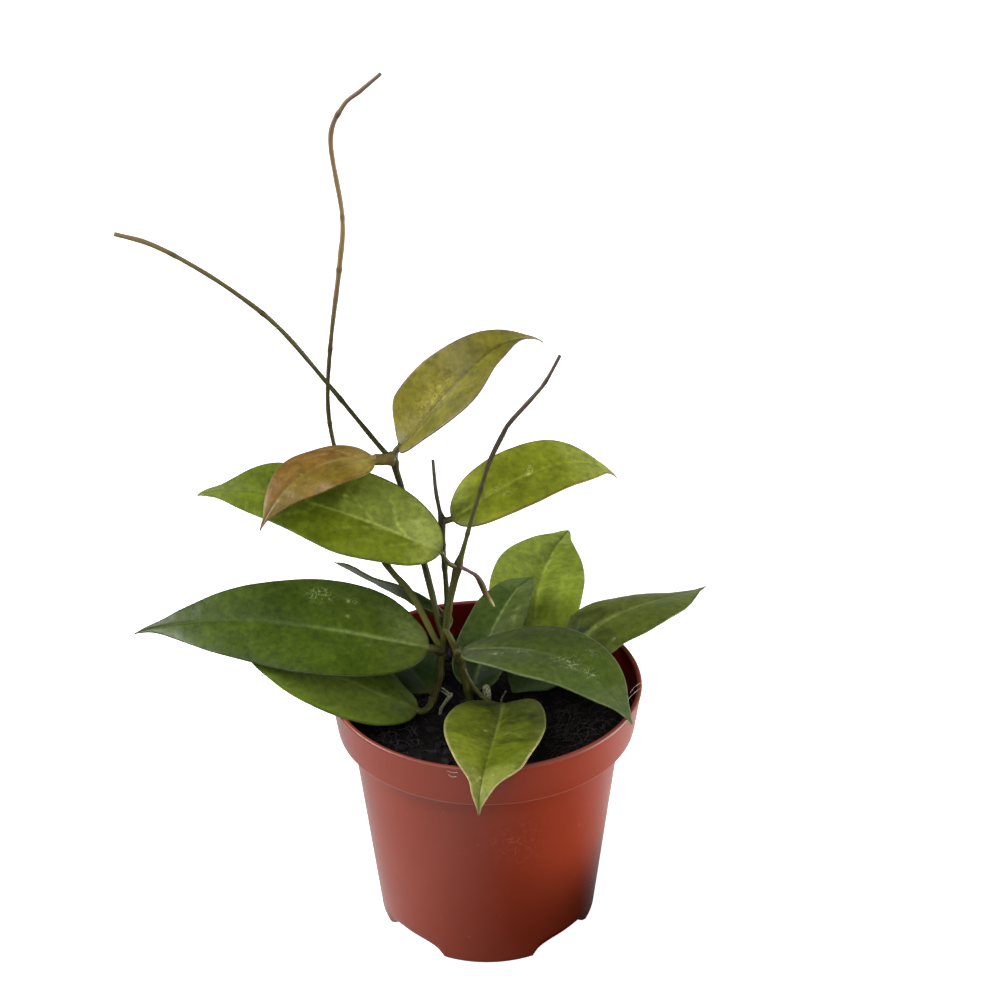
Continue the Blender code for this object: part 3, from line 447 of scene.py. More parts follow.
def ramp(tree, value, start, end, low=0.0, high=1.0, **settings):
    """Goes from `low` to `high` while the value goes from `start` to `end`."""
    return add_node(tree, "ShaderNodeMapRange", {0: value, 1: start, 2: end, 3: low, 4: high}, **settings)


def times(tree, first, second):
    return add_node(tree, "ShaderNodeMath", {0: first, 1: second}, operation="MULTIPLY")


def wavy_lines(tree, place, size, detail, wide, fine, strength=1.0):
    """Fine scratches that wander as the contours of a noise do."""
    wavy = lumps(tree, place, size, detail)
    off_line = add_node(tree, "ShaderNodeMath", {0: wavy, 1: 0.5}, operation="SUBTRACT")
    off_line = add_node(tree, "ShaderNodeMath", {0: off_line}, operation="ABSOLUTE")
    return ramp(tree, off_line, wide, fine, high=strength)


def layer_colours(tree, base, layers):
    """Lays each (mask, hex colour) over the base colour; returns the top colour."""
    colour = linear_colour(base)
    for mask, hex_colour in layers:
        colour = add_node(tree, "ShaderNodeMix", {0: mask, 6: colour, 7: linear_colour(hex_colour)},
                          output=2, data_type="RGBA")
    return colour


def paint(tree, shader, base, layers):
    """Gives the shader the base colour with the layers over it."""
    tree.links.new(layer_colours(tree, base, layers), shader.inputs["Base Color"])


def add_relief(tree, shader, height, strength, depth):
    """Bumps `depth` mm deep."""
    relief = add_node(tree, "ShaderNodeBump",
                      {"Strength": strength, "Distance": depth * MM, "Height": height})
    tree.links.new(relief, shader.inputs["Normal"])


def add_piece(name, points, faces, finish, node=None, origin=(0, 0, 0), fields=None):
    """Makes one smooth-shaded object from points in mm and hides the solid that it stands for, if any."""
    origin = np.array(origin, float)
    mesh = bpy.data.meshes.new(name)
    mesh.from_pydata(((np.asarray(points) - origin) * MM).tolist(), [], faces)
    for field, values in (fields or {}).items():
        values = np.asarray(values, np.float32)
        flat = values.ndim == 1
        made = mesh.attributes.new(field, "FLOAT" if flat else "FLOAT_VECTOR", "POINT")
        made.data.foreach_set("value" if flat else "vector", values.ravel())
    mesh.shade_smooth()
    mesh.materials.append(finish)
    piece = bpy.data.objects.new(name, mesh)
    piece.location = tuple(origin * MM)
    bpy.context.scene.collection.objects.link(piece)
    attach(piece, "root")
    if node:
        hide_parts(node)
    return piece


def loft_faces(rows, columns):
    """Quads between closed rings of points, with a face over each end."""
    faces = [tuple(reversed(range(columns)))]
    for row in range(rows - 1):
        here, there = row * columns, (row + 1) * columns
        faces += [(here + i, here + (i + 1) % columns, there + (i + 1) % columns, there + i)
                  for i in range(columns)]
    faces.append(tuple((rows - 1) * columns + i for i in range(columns)))
    return faces


def smooth_route(route, step):
    """Catmull-Rom curve through the given points, sampled about every `step`."""
    knots = np.array(route, float)
    padded = np.vstack([2 * knots[0] - knots[1], knots, 2 * knots[-1] - knots[-2]])
    samples = []
    for a, b, c, d in zip(padded, padded[1:], padded[2:], padded[3:]):
        count = max(1, round(np.linalg.norm(c[:3] - b[:3]) / step))
        for t in np.arange(count) / count:
            samples.append(0.5 * (2 * b + (c - a) * t + (2 * a - 5 * b + 4 * c - d) * t ** 2
                                  + (3 * b - a - 3 * c + d) * t ** 3))
    samples.append(knots[-1])
    return np.array(samples)


def carried_frames(centres, side):
    """Side and up vectors along a curve that turn no more than the curve does."""
    tangents = unit(np.gradient(centres, axis=0))
    sides, ups = [], []
    for tangent in tangents:
        side = unit(side - tangent * (side @ tangent))
        sides.append(side)
        ups.append(np.cross(side, tangent))
    return np.array(sides), np.array(ups)


# ---------------------------------------------------------------- stems

STEM_SIDES = 18
STEM_STEP = 0.9
BARK_RELIEF = 0.035             # height of the fine lengthwise ridges
SLOW_SWELL, QUICK_SWELL = 0.05, 0.03    # shares by which a stem's thickness wanders
NODE_SPREAD = 0.9               # of the rings where leaves once stood
NODE_SWELL = 0.22               # share of the stem's radius
SUNK_END = 6.0                  # length of a rooted vine's foot that is hidden in the mix
SUNK_STUB = 4.0                 # the same for a stub


def smoothed(values, width):
    """Running mean over `width` values."""
    kernel = np.ones(width) / width
    return np.convolve(np.pad(values, width // 2, "edge"), kernel, "valid")


def stem_mesh(route, step, sides, seed, nodes=()):
    """Points, faces and fields of a tapering stem along `route`."""
    samples = smooth_route(route, step)
    centres, radii = samples[:, :3], samples[:, 3]
    side_vectors, ups = carried_frames(centres, np.array([1.0, 0.0, 0.0]))
    run = np.concatenate([[0], np.cumsum(np.linalg.norm(np.diff(centres, axis=0), axis=1))])
    turns = np.linspace(0, math.tau, sides, endpoint=False)
    swell = 1 + SLOW_SWELL * np.sin(run / 3.1 + seed) + QUICK_SWELL * np.sin(run / 1.3 + 2 * seed)
    ring = sum((np.exp(-((centres[:, 2] - height) / NODE_SPREAD) ** 2) for height in nodes),
               np.zeros(len(run)))
    swell = swell + NODE_SWELL * ring
    ridges = BARK_RELIEF * np.sin(5 * turns + seed)[None, :] * np.ones(len(run))[:, None]
    radius = radii[:, None] * swell[:, None] + ridges
    points = (centres[:, None] + radius[..., None] * (
        side_vectors[:, None] * np.cos(turns)[:, None] - ups[:, None] * np.sin(turns)[:, None]))
    fields = {
        "along": np.repeat(run / run[-1], sides),
        "bark": np.stack([np.tile(np.cos(turns), len(run)), np.tile(np.sin(turns), len(run)),
                          np.repeat(run, sides)], -1),
        "knot": np.repeat(np.clip((radii - smoothed(radii, 21)) / 0.3 + 0.8 * ring, 0, 1), sides),
    }
    return points.reshape(-1, 3), loft_faces(len(run), sides), fields


def bundle(routes, step, sides):
    """Several stems in one mesh."""
    points, faces, bark, total = [], [], [], 0
    for number, route in enumerate(routes):
        new_points, new_faces, new_fields = stem_mesh(route, step, sides, 2.1 * number)
        points.append(new_points)
        faces += [tuple(total + i for i in face) for face in new_faces]
        bark.append(new_fields["bark"])
        total += len(new_points)
    return np.concatenate(points), faces, {"bark": np.concatenate(bark)}


def stem_material(name, colours):
    """Green bark turning woody: a matt skin, faintly ridged along the stem, darker at the nodes.
    The grain is drawn several times coarser than life, as the real one is too fine to show."""
    made, tree, shader = new_material(name, Roughness=0.55, Specular_IOR_Level=0.22)
    along, knot = mesh_field(tree, "along"), mesh_field(tree, "knot")
    stretched = add_node(tree, "ShaderNodeMapping",
                         {0: mesh_field(tree, "bark", "Vector"), "Scale": (1.6, 1.6, 0.12)})
    grain = add_node(tree, "ShaderNodeTexNoise", {0: stretched, "Scale": 2.0, "Detail": 4.0})
    stretch = 1 / (len(colours) - 1)
    layers = [(ramp(tree, along, i * stretch, (i + 1) * stretch, interpolation_type="SMOOTHSTEP"),
               hex_colour) for i, hex_colour in enumerate(colours[1:])]
    layers += [(ramp(tree, grain, 0.45, 0.7, high=0.35), "78743C"),
               (ramp(tree, knot, 0, 1, high=0.6), "2A2414")]
    paint(tree, shader, colours[0], layers)
    add_relief(tree, shader, grain, 0.5, 0.08)
    return made


def make_vines():
    """The vines: each sunk in the mix or running into the vine that it leaves."""
    for number, (name, route) in enumerate(VINE_ROUTES.items()):
        if name in VINE_JOINS:
            end, place = VINE_JOINS[name]
            knot = (*place, route[end][3] * 0.8)
            route = [knot] + route if end == 0 else route + [knot]
        if name in ROOTED_VINES:
            x, y, z, radius = route[0]
            route = [(x, y, z - SUNK_END, radius)] + route
        points, faces, fields = stem_mesh(route, STEM_STEP, STEM_SIDES, 1.7 * number, VINE_NODES[name])
        add_piece(name + "_bark", points, faces, stem_material(name + "_bark", VINE_COLOURS[name]),
                  name, fields=fields)


# ---------------------------------------------------------------- leaves

def half_width_share(t, widest):
    """Outline of a hoya leaf: rounded base, widest before the middle, long narrow tip."""
    tip_power = BASE_ROUNDNESS * (1 - widest) / widest
    peak = widest ** BASE_ROUNDNESS * (1 - widest) ** tip_power
    return t ** BASE_ROUNDNESS * (1 - t) ** tip_power / peak


def midrib(leaf, t):
    """Points of the midrib: a straight chord, arched upwards and swayed sideways."""
    base, tip = np.array(leaf["base"], float), np.array(leaf["tip"], float)
    chord = tip - base
    side = unit(np.cross(chord, (0, 0, 1)))
    up = unit(np.cross(side, chord))
    early, late = 1 + leaf["lean"], 1 - leaf["lean"]
    top = (early / 2) ** early * (late / 2) ** late
    hump = t ** early * (1 - t) ** late / top
    return (base + np.outer(t, chord) + np.outer(leaf["arch"] * hump, up)
            + np.outer(leaf["sway"] * 4 * t * (1 - t), side))


def blade_frames(leaf, t):
    """Midrib points with their tangent, side and up vectors at each station."""
    fine = np.linspace(0, 1, 801)
    centres = midrib(leaf, fine)
    tangents = unit(np.gradient(centres, axis=0))
    level = unit(np.cross(tangents, (0, 0, 1)))
    upright = np.cross(level, tangents)
    turn = np.radians(leaf["roll"] + leaf["twist"] * (fine - 0.5))[:, None]
    sides = level * np.cos(turn) - upright * np.sin(turn)
    ups = upright * np.cos(turn) + level * np.sin(turn)
    return [np.stack([np.interp(t, fine, part[:, axis]) for axis in range(3)], -1)
            for part in (centres, tangents, sides, ups)]


def petiole_radius(leaf):
    return leaf.get("stalk", 0.6 + 0.018 * leaf["width"])


def petiole_course(leaf, base, tangent):
    """Centres of the leaf stalk, from inside its vine to the blade."""
    vine, knot = leaf["grows_from"]
    route = np.array(VINE_ROUTES[vine], float)
    start, vine_radius = route[knot, :3], route[knot, 3]
    towards = unit(np.array(leaf["base"], float) - start)
    start = start + towards * vine_radius * 0.3
    reach = np.linalg.norm(base - start)
    t = np.linspace(0, 1, PETIOLE_ROWS + 1)[:, None]
    handle = np.array(leaf.get("bend", base - tangent * 0.45 * reach), float)
    return (1 - t) ** 2 * start + 2 * t * (1 - t) * handle + t ** 2 * base


def outline_factors(look, t):
    """Widths of the two halves of the blade as shares of the plain outline."""
    factors = []
    for half in (-1, 1):
        factor = np.ones_like(t)
        for side, place, spread, share in look.get("edge", ()) + (DRIP_TIP,):
            if side in (0, half):
                factor = factor + share * np.exp(-((t - place) / spread) ** 2)
        factors.append(np.maximum(factor, 0.1))
    return factors


def plain_half_width(leaf, t):
    return leaf["width"] / 2 * half_width_share(np.clip(t, 0.001, 0.999), leaf["widest"])


def vein_courses(leaf, look, length):
    """All the veins in the blade's own plane, as (points in mm with strength, width in mm)."""
    pairs, strength = look["side_veins"]
    courses = []
    for pair in range(pairs):
        for side in (-1, 1):
            start = 0.06 + (0.62 / pairs) * (pair + 0.25 * (side > 0))
            reach = np.linspace(0, SIDE_VEIN_REACH, VEIN_POINTS)
            t = start + (0.26 - 0.05 * pair / pairs) * reach ** 1.5
            fade = strength * (1 - reach) ** 0.6
            x = side * reach * plain_half_width(leaf, t)
            courses.append((np.stack([x, t * length, fade], -1), SIDE_VEIN_WIDTH))
    for width, strength, places in look.get("veins", ()):
        t, across = np.array(places).T
        x = across * plain_half_width(leaf, t)
        fade = strength * np.linspace(1, 0.55, len(t))
        course = smooth_route(np.stack([x, t * length, 0 * t, fade], -1), 0.4)
        courses.append((course[:, [0, 1, 3]], width))
    return courses


def spot_field(leaf, length, across, along, spots):
    """Soft round spots at their places on the blade."""
    field = np.zeros_like(across)
    for t, side, radius, strength in spots:
        x, y = side * plain_half_width(leaf, np.array(t)), t * length
        stretch = ((across - x) ** 2 + ((along - y) / 1.4) ** 2) / radius ** 2
        field = np.maximum(field, strength * np.exp(-stretch ** 1.5))
    return field


def vein_field(across, along, courses):
    """How near each point is to a vein, from 0 to the vein's strength."""
    field = np.zeros_like(across)
    for vein, width in courses:
        gap = (across[..., None] - vein[:, 0]) ** 2 + (along[..., None] - vein[:, 1]) ** 2
        nearest = gap.argmin(-1)
        near = np.take_along_axis(gap, nearest[..., None], -1)[..., 0]
        field = np.maximum(field, vein[nearest, 2] * np.exp(-near / width ** 2))
    return field


def pucker_field(x, along, seed):
    """Height of the low swellings between the veins, about -1 to 1."""
    heights = [noise.fractal(Vector((a / PUCKER_SIZE, b / PUCKER_SIZE, seed)), 1.0, 2.2, 3)
               for a, b in zip(x.ravel(), along.ravel())]
    return np.array(heights).reshape(x.shape)


def blade_half_widths(leaf, look, t, s):
    """Half width of the blade at each point, on the point's own side of the midrib."""
    plain = np.maximum(leaf["width"] / 2 * half_width_share(t, leaf["widest"]), LEAST_HALF_WIDTH)
    left, right = [plain * factor for factor in outline_factors(look, t)]
    half = np.where(s < 0, left[:, None], right[:, None])
    return np.where(t[:, None] < 0.5, np.maximum(half, petiole_radius(leaf)), half)


def blade_lift(leaf, t, s, half, x, along):
    """How far the blade rises from its midrib: fold, drooping margins, waves and puckers."""
    fold = math.tan(math.radians(leaf["fold"]))
    crease = np.sqrt(s ** 2 + MIDRIB_ROUNDING ** 2) - MIDRIB_ROUNDING
    waves = MARGIN_WAVE * np.abs(s) ** 3 * np.sin(
        math.tau * (2.2 * t[:, None] + 0.17 * np.sign(s) + leaf["width"] * 0.07))
    lift = half * (fold * crease - leaf["droop"] * s ** 2) + waves * np.minimum(half / 8, 1)
    return lift + PUCKER * pucker_field(x, along, leaf["width"]) * np.minimum(t / 0.1, 1)[:, None]


def blade_rings(leaf, t, s, half, x, along, vein):
    """Rings of points round the blade: upper face, one margin, lower face, other margin."""
    centres, tangents, sides, ups = blade_frames(leaf, t)
    lift = blade_lift(leaf, t, s, half, x, along)
    back = leaf["lobe"] * np.sin(math.pi * np.minimum(t / LOBE_END, 1))[:, None] * np.abs(s)
    middle = (centres[:, None] + sides[:, None] * x[..., None] + ups[:, None] * lift[..., None]
              - tangents[:, None] * back[..., None])
    thick = MARGIN_THICKNESS + (BLADE_THICKNESS - MARGIN_THICKNESS) * (1 - np.abs(s))
    thick = TIP_THICKNESS + (thick - TIP_THICKNESS) * (1 - t[:, None] ** 3)
    rib_radius = rib_radii(leaf, t)
    keel = np.sqrt(np.maximum(rib_radius ** 2 - x ** 2, 0))
    near_base = np.exp(-t / KEEL_RUN)[:, None]
    groove = RIB_GROOVE * rib_field(leaf, t, x) * (1 - near_base)
    upper = np.maximum(thick / 2 - groove - VEIN_GROOVE * vein, keel * near_base)
    lower = np.maximum(thick / 2 + VEIN_RIDGE * vein, keel * (0.75 + 0.25 * near_base))
    top = middle + ups[:, None] * upper[..., None]
    bottom = (middle - ups[:, None] * lower[..., None])[:, ::-1]
    angles = math.pi * np.arange(1, RIM_POINTS + 1) / (RIM_POINTS + 1)
    rims = []
    for column, sign, down in ((-1, 1, 1), (0, -1, -1)):
        edge, reach = middle[:, column], thick[:, column] / 2
        rims.append(edge[:, None] + reach[:, None, None] * (
            sides[:, None] * (sign * np.sin(angles))[None, :, None]
            + ups[:, None] * (down * np.cos(angles))[None, :, None]))
    return np.concatenate([top, rims[0], bottom, rims[1]], 1)


def petiole_rings(leaf, base, tangent, side):
    """Rings of points round the leaf stalk, thicker where it leaves its vine."""
    course = petiole_course(leaf, base, tangent)
    backward_sides, backward_ups = carried_frames(course[::-1], side)
    sides, ups = backward_sides[:0:-1], -backward_ups[:0:-1]
    turns = np.concatenate([np.linspace(math.pi, 0, BLADE_COLUMNS + RIM_POINTS + 1)[:-1],
                            np.linspace(0, -math.pi, BLADE_COLUMNS + RIM_POINTS + 1)[:-1]])
    run = np.linalg.norm(course[:-1] - course[0], axis=1)
    radius = petiole_radius(leaf) * (1 + 0.3 * np.exp(-(run / 1.2) ** 2))
    return (course[:-1, None] + radius[:, None, None] * (
        sides[:, None] * np.cos(turns)[None, :, None] + ups[:, None] * np.sin(turns)[None, :, None]))


def rib_radii(leaf, t):
    """The midrib goes on from the stalk and thins towards the tip."""
    return (petiole_radius(leaf) * (1 - t) ** 0.8 + 0.1)[:, None]


def rib_field(leaf, t, x):
    """How near each point is to the midrib, from 0 to 1."""
    return np.exp(-(x / (0.55 * rib_radii(leaf, t) + 0.15)) ** 2)


def whole_ring(face, stalk_value):
    """Carries the values of one face round the whole ring and down the stalk."""
    edge = np.zeros((BLADE_ROWS, RIM_POINTS))
    ring = np.concatenate([face, edge, face[:, ::-1], edge], 1)
    return np.pad(ring, ((PETIOLE_ROWS, 0), (0, 0)), constant_values=stalk_value).ravel()


def leaf_mesh(leaf, look):
    """Points, faces and fields of a leaf, in rings from inside its vine to its tip."""
    even = np.linspace(0, 1, BLADE_ROWS)
    t = 0.45 * even + 0.55 * (1 - np.cos(math.pi * even)) / 2      # closer at the base and the tip
    t[0], t[-1] = 0.0008, 0.9995
    length = np.linalg.norm(np.diff(midrib(leaf, np.linspace(0, 1, 60)), axis=0), axis=1).sum()
    spread = np.linspace(-1, 1, BLADE_COLUMNS)
    s = (0.75 * spread + 0.25 * spread ** 3)[None, :] * np.ones((BLADE_ROWS, 1))
    half = blade_half_widths(leaf, look, t, s)
    x, along = s * half, (t * length)[:, None] * np.ones_like(s)
    vein = vein_field(x, along, vein_courses(leaf, look, length))
    centres, tangents, sides, _ = blade_frames(leaf, t)
    points = np.concatenate([petiole_rings(leaf, centres[0], tangents[0], sides[0]),
                             blade_rings(leaf, t, s, half, x, along, vein)])
    rows, columns = points.shape[:2]
    under = np.zeros((rows, columns))
    under[PETIOLE_ROWS:, BLADE_COLUMNS + 2:2 * BLADE_COLUMNS + RIM_POINTS] = 1
    fields = {
        "vein": whole_ring(vein, 0.0),
        "rib": whole_ring(rib_field(leaf, t, x), 1.0),
        "across": whole_ring(s, 0.0),
        "margin": whole_ring((1 - np.abs(s)) * half, 2.0),
        "along": np.repeat(np.concatenate([np.zeros(PETIOLE_ROWS), t]), columns),
        "under": under.ravel(),
        "stalk": np.repeat(np.concatenate([np.ones(PETIOLE_ROWS), np.exp(-t * length / 1.5)]), columns),
    }
    for field, table in (("mark", "marks"), ("scratch", "scratches"), ("blush", "blushes")):
        fields[field] = whole_ring(spot_field(leaf, length, x, along, look.get(table, ())), 0.0)
    return points.reshape(-1, 3), loft_faces(rows, columns), fields


def zone_mask(tree, along, across, side, start, end, strength):
    """A soft-ended length of the blade, on one side of the midrib or on both."""
    rise = ramp(tree, along, start - 0.08, start + 0.08, high=strength, interpolation_type="SMOOTHSTEP")
    fall = ramp(tree, along, end + 0.08, end - 0.08, interpolation_type="SMOOTHSTEP")
    mask = times(tree, rise, fall)
    if side:
        mask = times(tree, mask, ramp(tree, across, -0.1 * side, 0.25 * side))
    return mask


def leaf_material(name, look):
    """Leaf under a thick waxed cuticle: satin with a soft broad shine.  Below it the green is
    cloudy, with paler veins, a flushed margin and small corky flecks.  The skin's grain is drawn
    0.6 mm across, several times coarser than life, so that it shows."""
    made, tree, shader = new_material(name, Roughness=0.4, Specular_IOR_Level=look.get("shine", 0.25))
    place = object_place(tree)
    vein, rib, across, margin, along, under, stalk, mark, scratch, blush = [
        mesh_field(tree, field) for field in (
            "vein", "rib", "across", "margin", "along", "under", "stalk", "mark", "scratch", "blush")]
    patches = lumps(tree, place, 8, 3.0)
    clouds = lumps(tree, place, 2.2, 5.0, 0.6)
    grain = lumps(tree, place, 0.6, 3.0)
    specks = add_node(tree, "ShaderNodeTexVoronoi", {0: place, "Scale": 1 / (2.4 * MM)})
    drift = add_node(tree, "ShaderNodeMath", {0: patches, 1: 0.2, 2: -0.1}, operation="MULTIPLY_ADD")
    wandering = add_node(tree, "ShaderNodeMath", {0: along, 1: drift}, operation="ADD")
    broken = ramp(tree, clouds, 0.38, 0.56, 0.3)
    flush_colour, flush_strength = look["flush"]
    rib_end, rib_strength = look["rib"]
    rim_start = look.get("rim_from", -0.3)
    mark_colour = look.get("mark_colour", look["vein"])
    # Zones: the leaf's own tones, with painted sheen and painted shade among them.
    layers = [(zone_mask(tree, wandering, across, *reach), hex_colour)
              for hex_colour, *reach in look.get("zones", ())]
    layers += [
        (ramp(tree, patches, 0.45, 0.62, high=0.3), look["second"]),
        (ramp(tree, margin, 4.5, 0.4, high=flush_strength), flush_colour),
        (blush, flush_colour),
        (times(tree, vein, broken), look["vein"]),
        (times(tree, rib, ramp(tree, along, rib_end + 0.08, rib_end * 0.4, high=rib_strength)),
         look["vein"]),
        (ramp(tree, specks, 0.1, 0.05, high=0.3), look["vein"]),
        (times(tree, mark, broken), mark_colour),
        (times(tree, scratch, wavy_lines(tree, place, 1.9, 1.0, 0.035, 0.012)), mark_colour),
        (ramp(tree, margin, 0.5, 0.15, high=ramp(tree, along, rim_start, rim_start + 0.25, 0.2, 0.85)),
         look["rim"]),
        (under, look["under"]),
        # The stalks' default colour is partly their own and partly painted shade near the base.
        (stalk, look.get("stalk_colour", "44421E")),
    ]
    colour = layer_colours(tree, look["main"], layers)
    shade = times(tree, ramp(tree, clouds, 0.3, 0.7, 0.7, 1.3), ramp(tree, patches, 0.3, 0.7, 0.86, 1.14))
    mottled = add_node(tree, "ShaderNodeHueSaturation", {"Value": shade, "Color": colour})
    tree.links.new(mottled, shader.inputs["Base Color"])
    swell = add_node(tree, "ShaderNodeBump", {"Strength": 0.5, "Distance": 0.3 * MM, "Height": clouds})
    skin = add_node(tree, "ShaderNodeBump", {"Strength": 0.25, "Distance": 0.05 * MM, "Height": grain,
                                             "Normal": swell})
    tree.links.new(skin, shader.inputs["Normal"])
    return made


def make_leaves():
    for name, leaf in LEAVES.items():
        look = LEAF_LOOKS[name]
        points, faces, fields = leaf_mesh(leaf, look)
        add_piece(name + "_blade", points, faces, leaf_material(name + "_cuticle", look), name,
                  origin=leaf["base"], fields=fields)


# ---------------------------------------------------------------- shoot and dry stubs

def fibre_material(name, base, streak, roughness):
    """Dry pith or coir: matt and fibrous, with dark pits and pale lengthwise fibres."""
    made, tree, shader = new_material(name, Roughness=roughness, Specular_IOR_Level=0.35)
    stretched = add_node(tree, "ShaderNodeMapping",
                         {0: mesh_field(tree, "bark", "Vector"), "Scale": (1.4, 1.4, 0.8)})
    grain = add_node(tree, "ShaderNodeTexNoise", {0: stretched, "Scale": 1.6, "Detail": 5.0})
    paint(tree, shader, base, [(ramp(tree, grain, 0.42, 0.6), streak),
                               (ramp(tree, grain, 0.42, 0.34, high=0.8), "26241C")])
    add_relief(tree, shader, grain, 0.7, 0.2)
    return made


def make_small_stems():
    """The reddish side shoot, the dry stubs in the mix and the loose hairs."""
    points, faces, fields = stem_mesh(SHOOT_ROUTE, step=0.4, sides=14, seed=0.4)
    add_piece("young_shoot_tip", points, faces, stem_material("young_shoot_skin", SHOOT_COLOURS),
              "young_shoot", fields=fields)
    for name, route in STUB_ROUTES.items():
        x, y, z, radius = route[0]
        rooted = [(x, y, z - SUNK_STUB, radius)] + route
        points, faces, fields = bundle([rooted] + STUB_SPURS[name], step=0.3, sides=12)
        add_piece(name + "_fibres", points, faces,
                  fibre_material(name + "_fibres", *STUB_COLOURS[name], 0.8), name,
                  fields=fields)
    points, faces, fields = bundle(LOOSE_HAIRS, step=0.5, sides=6)
    add_piece("loose_hairs", points, faces, fibre_material("coir_hair", "C8B4A0", "E0D4C4", 0.7),
              None, fields=fields)


# ---------------------------------------------------------------- pot

def turn_columns():
    """The angles of the pot's columns of points."""
    return np.linspace(0, math.tau, POT_COLUMNS, endpoint=False)


def arch_lift(angles, radius):
    """How far the base is raised by its four drainage arches."""
    off_centre = np.abs(np.degrees(angles) % 90 - 45) / ARCH_HALF_ANGLE
    reach = np.clip((radius - ARCH_INNER_RADIUS) / (ARCH_FULL_RADIUS - ARCH_INNER_RADIUS), 0, 1)
    return ARCH_HEIGHT * np.sqrt(np.clip(1 - off_centre ** 3, 0, 1)) * reach


def arch_share(z):
    """How much of the arches' lift is left at a height on the wall."""
    return max(0.0, 1 - (z - CORNER) / ARCH_FADE) ** 2


def wall_radius(z, inset):
    return BASE_RADIUS + (WALL_TOP_RADIUS - BASE_RADIUS) * z / BAND_FOOT - inset


def band_radius(z, inset):
    return BAND_FOOT_RADIUS + (RIM_RADIUS - BAND_FOOT_RADIUS) * (z - BAND_FOOT) / RIM_BAND_HEIGHT - inset


def arc(centre_r, centre_z, radius, start, end, count, share):
    """Rounded part of a profile, between two angles."""
    return [(centre_r + radius * math.cos(a), centre_z + radius * math.sin(a), share)
            for a in np.radians(np.linspace(start, end, count))]


def pot_outside():
    """(radius, height, share of the arch's lift) from the base's middle up to the lip."""
    edge = BAND_EDGE
    profile = [(1, 0, 1)] + [(r, 0, 1) for r in (8, 13, 15, 17, 20, 24, 28, 31)]
    profile += arc(wall_radius(CORNER, 0) - CORNER, CORNER, CORNER, -90, 0, 8, 1)
    profile += [(wall_radius(z, 0), z, arch_share(z))
                for z in (4, 5, 6, 7, 8, 10, 14, 20, 30, 40, 50, 60, 68, BAND_FOOT - 1.6)]
    profile += [(wall_radius(BAND_FOOT, 0) + 0.15, BAND_FOOT - 0.8, 0),
                (wall_radius(BAND_FOOT, 0) + 0.6, BAND_FOOT - 0.3, 0),
                (wall_radius(BAND_FOOT, 0) + 1.4, BAND_FOOT, 0)]
    profile += arc(band_radius(BAND_FOOT, edge), BAND_FOOT + edge, edge, -90, 0, 6, 0)
    profile += [(band_radius(z, 0), z, 0) for z in (BAND_FOOT + 2, BAND_FOOT + 7, BAND_FOOT + 12)]
    return profile


def pot_inside(inset):
    """The pot's inside from the rim down to the floor's middle, moved inwards by `inset`."""
    ledge = BAND_FOOT + WALL + inset
    profile = [(band_radius(z, WALL + inset), z, 0) for z in (POT_HEIGHT - 3, 86, 82, ledge + 0.6)]
    profile += [(band_radius(ledge, WALL + inset) - 0.6, ledge, 0),
                (wall_radius(ledge, WALL + inset), ledge - 0.6, 0)]
    profile += [(wall_radius(z, WALL + inset), z, arch_share(z))
                for z in (60, 40, 20, 14, 10, 8, 7, 6, 5)]
    profile += [(wall_radius(CORNER, WALL + inset) - 0.3, CORNER + 0.9 + inset, 1),
                (BASE_RADIUS - CORNER - inset, WALL + inset, 1)]
    profile += [(r, WALL + inset, 1) for r in (31, 28, 24, 20, 17, 15, 13, 8, 1)]
    return profile


def revolve(profile):
    """Turned skin of a closed profile that runs from the bottom's middle to the top's."""
    angles = turn_columns()
    rows = []
    for radius, height, share in profile:
        lift = share * arch_lift(angles, radius)
        rows.append(np.stack([radius * np.cos(angles), radius * np.sin(angles), height + lift], -1))
    return np.concatenate(rows), loft_faces(len(profile), POT_COLUMNS)


def drill(piece, centres, radius, low, high):
    """Cuts plain round holes through a piece and keeps the result as its mesh."""
    cutters = bpy.data.collections.new(piece.name + "_cutters")
    bpy.context.scene.collection.children.link(cutters)
    turns = np.linspace(0, math.tau, DRILL_SIDES, endpoint=False)
    for x, y in centres:
        rings = [np.stack([x + radius * np.cos(turns), y + radius * np.sin(turns), 0 * turns + z], -1)
                 for z in (low, high)]
        mesh = bpy.data.meshes.new("drill")
        mesh.from_pydata((np.concatenate(rings) * MM).tolist(), [], loft_faces(2, DRILL_SIDES))
        cutters.objects.link(bpy.data.objects.new("drill", mesh))
    cut = piece.modifiers.new("holes", "BOOLEAN")
    cut.operand_type, cut.collection, cut.solver = "COLLECTION", cutters, "EXACT"
    bpy.context.view_layer.update()
    cut_mesh = bpy.data.meshes.new_from_object(
        piece.evaluated_get(bpy.context.evaluated_depsgraph_get()))
    piece.modifiers.remove(cut)
    piece.data = cut_mesh
    for cutter in list(cutters.objects):
        bpy.data.objects.remove(cutter)
    bpy.data.collections.remove(cutters)


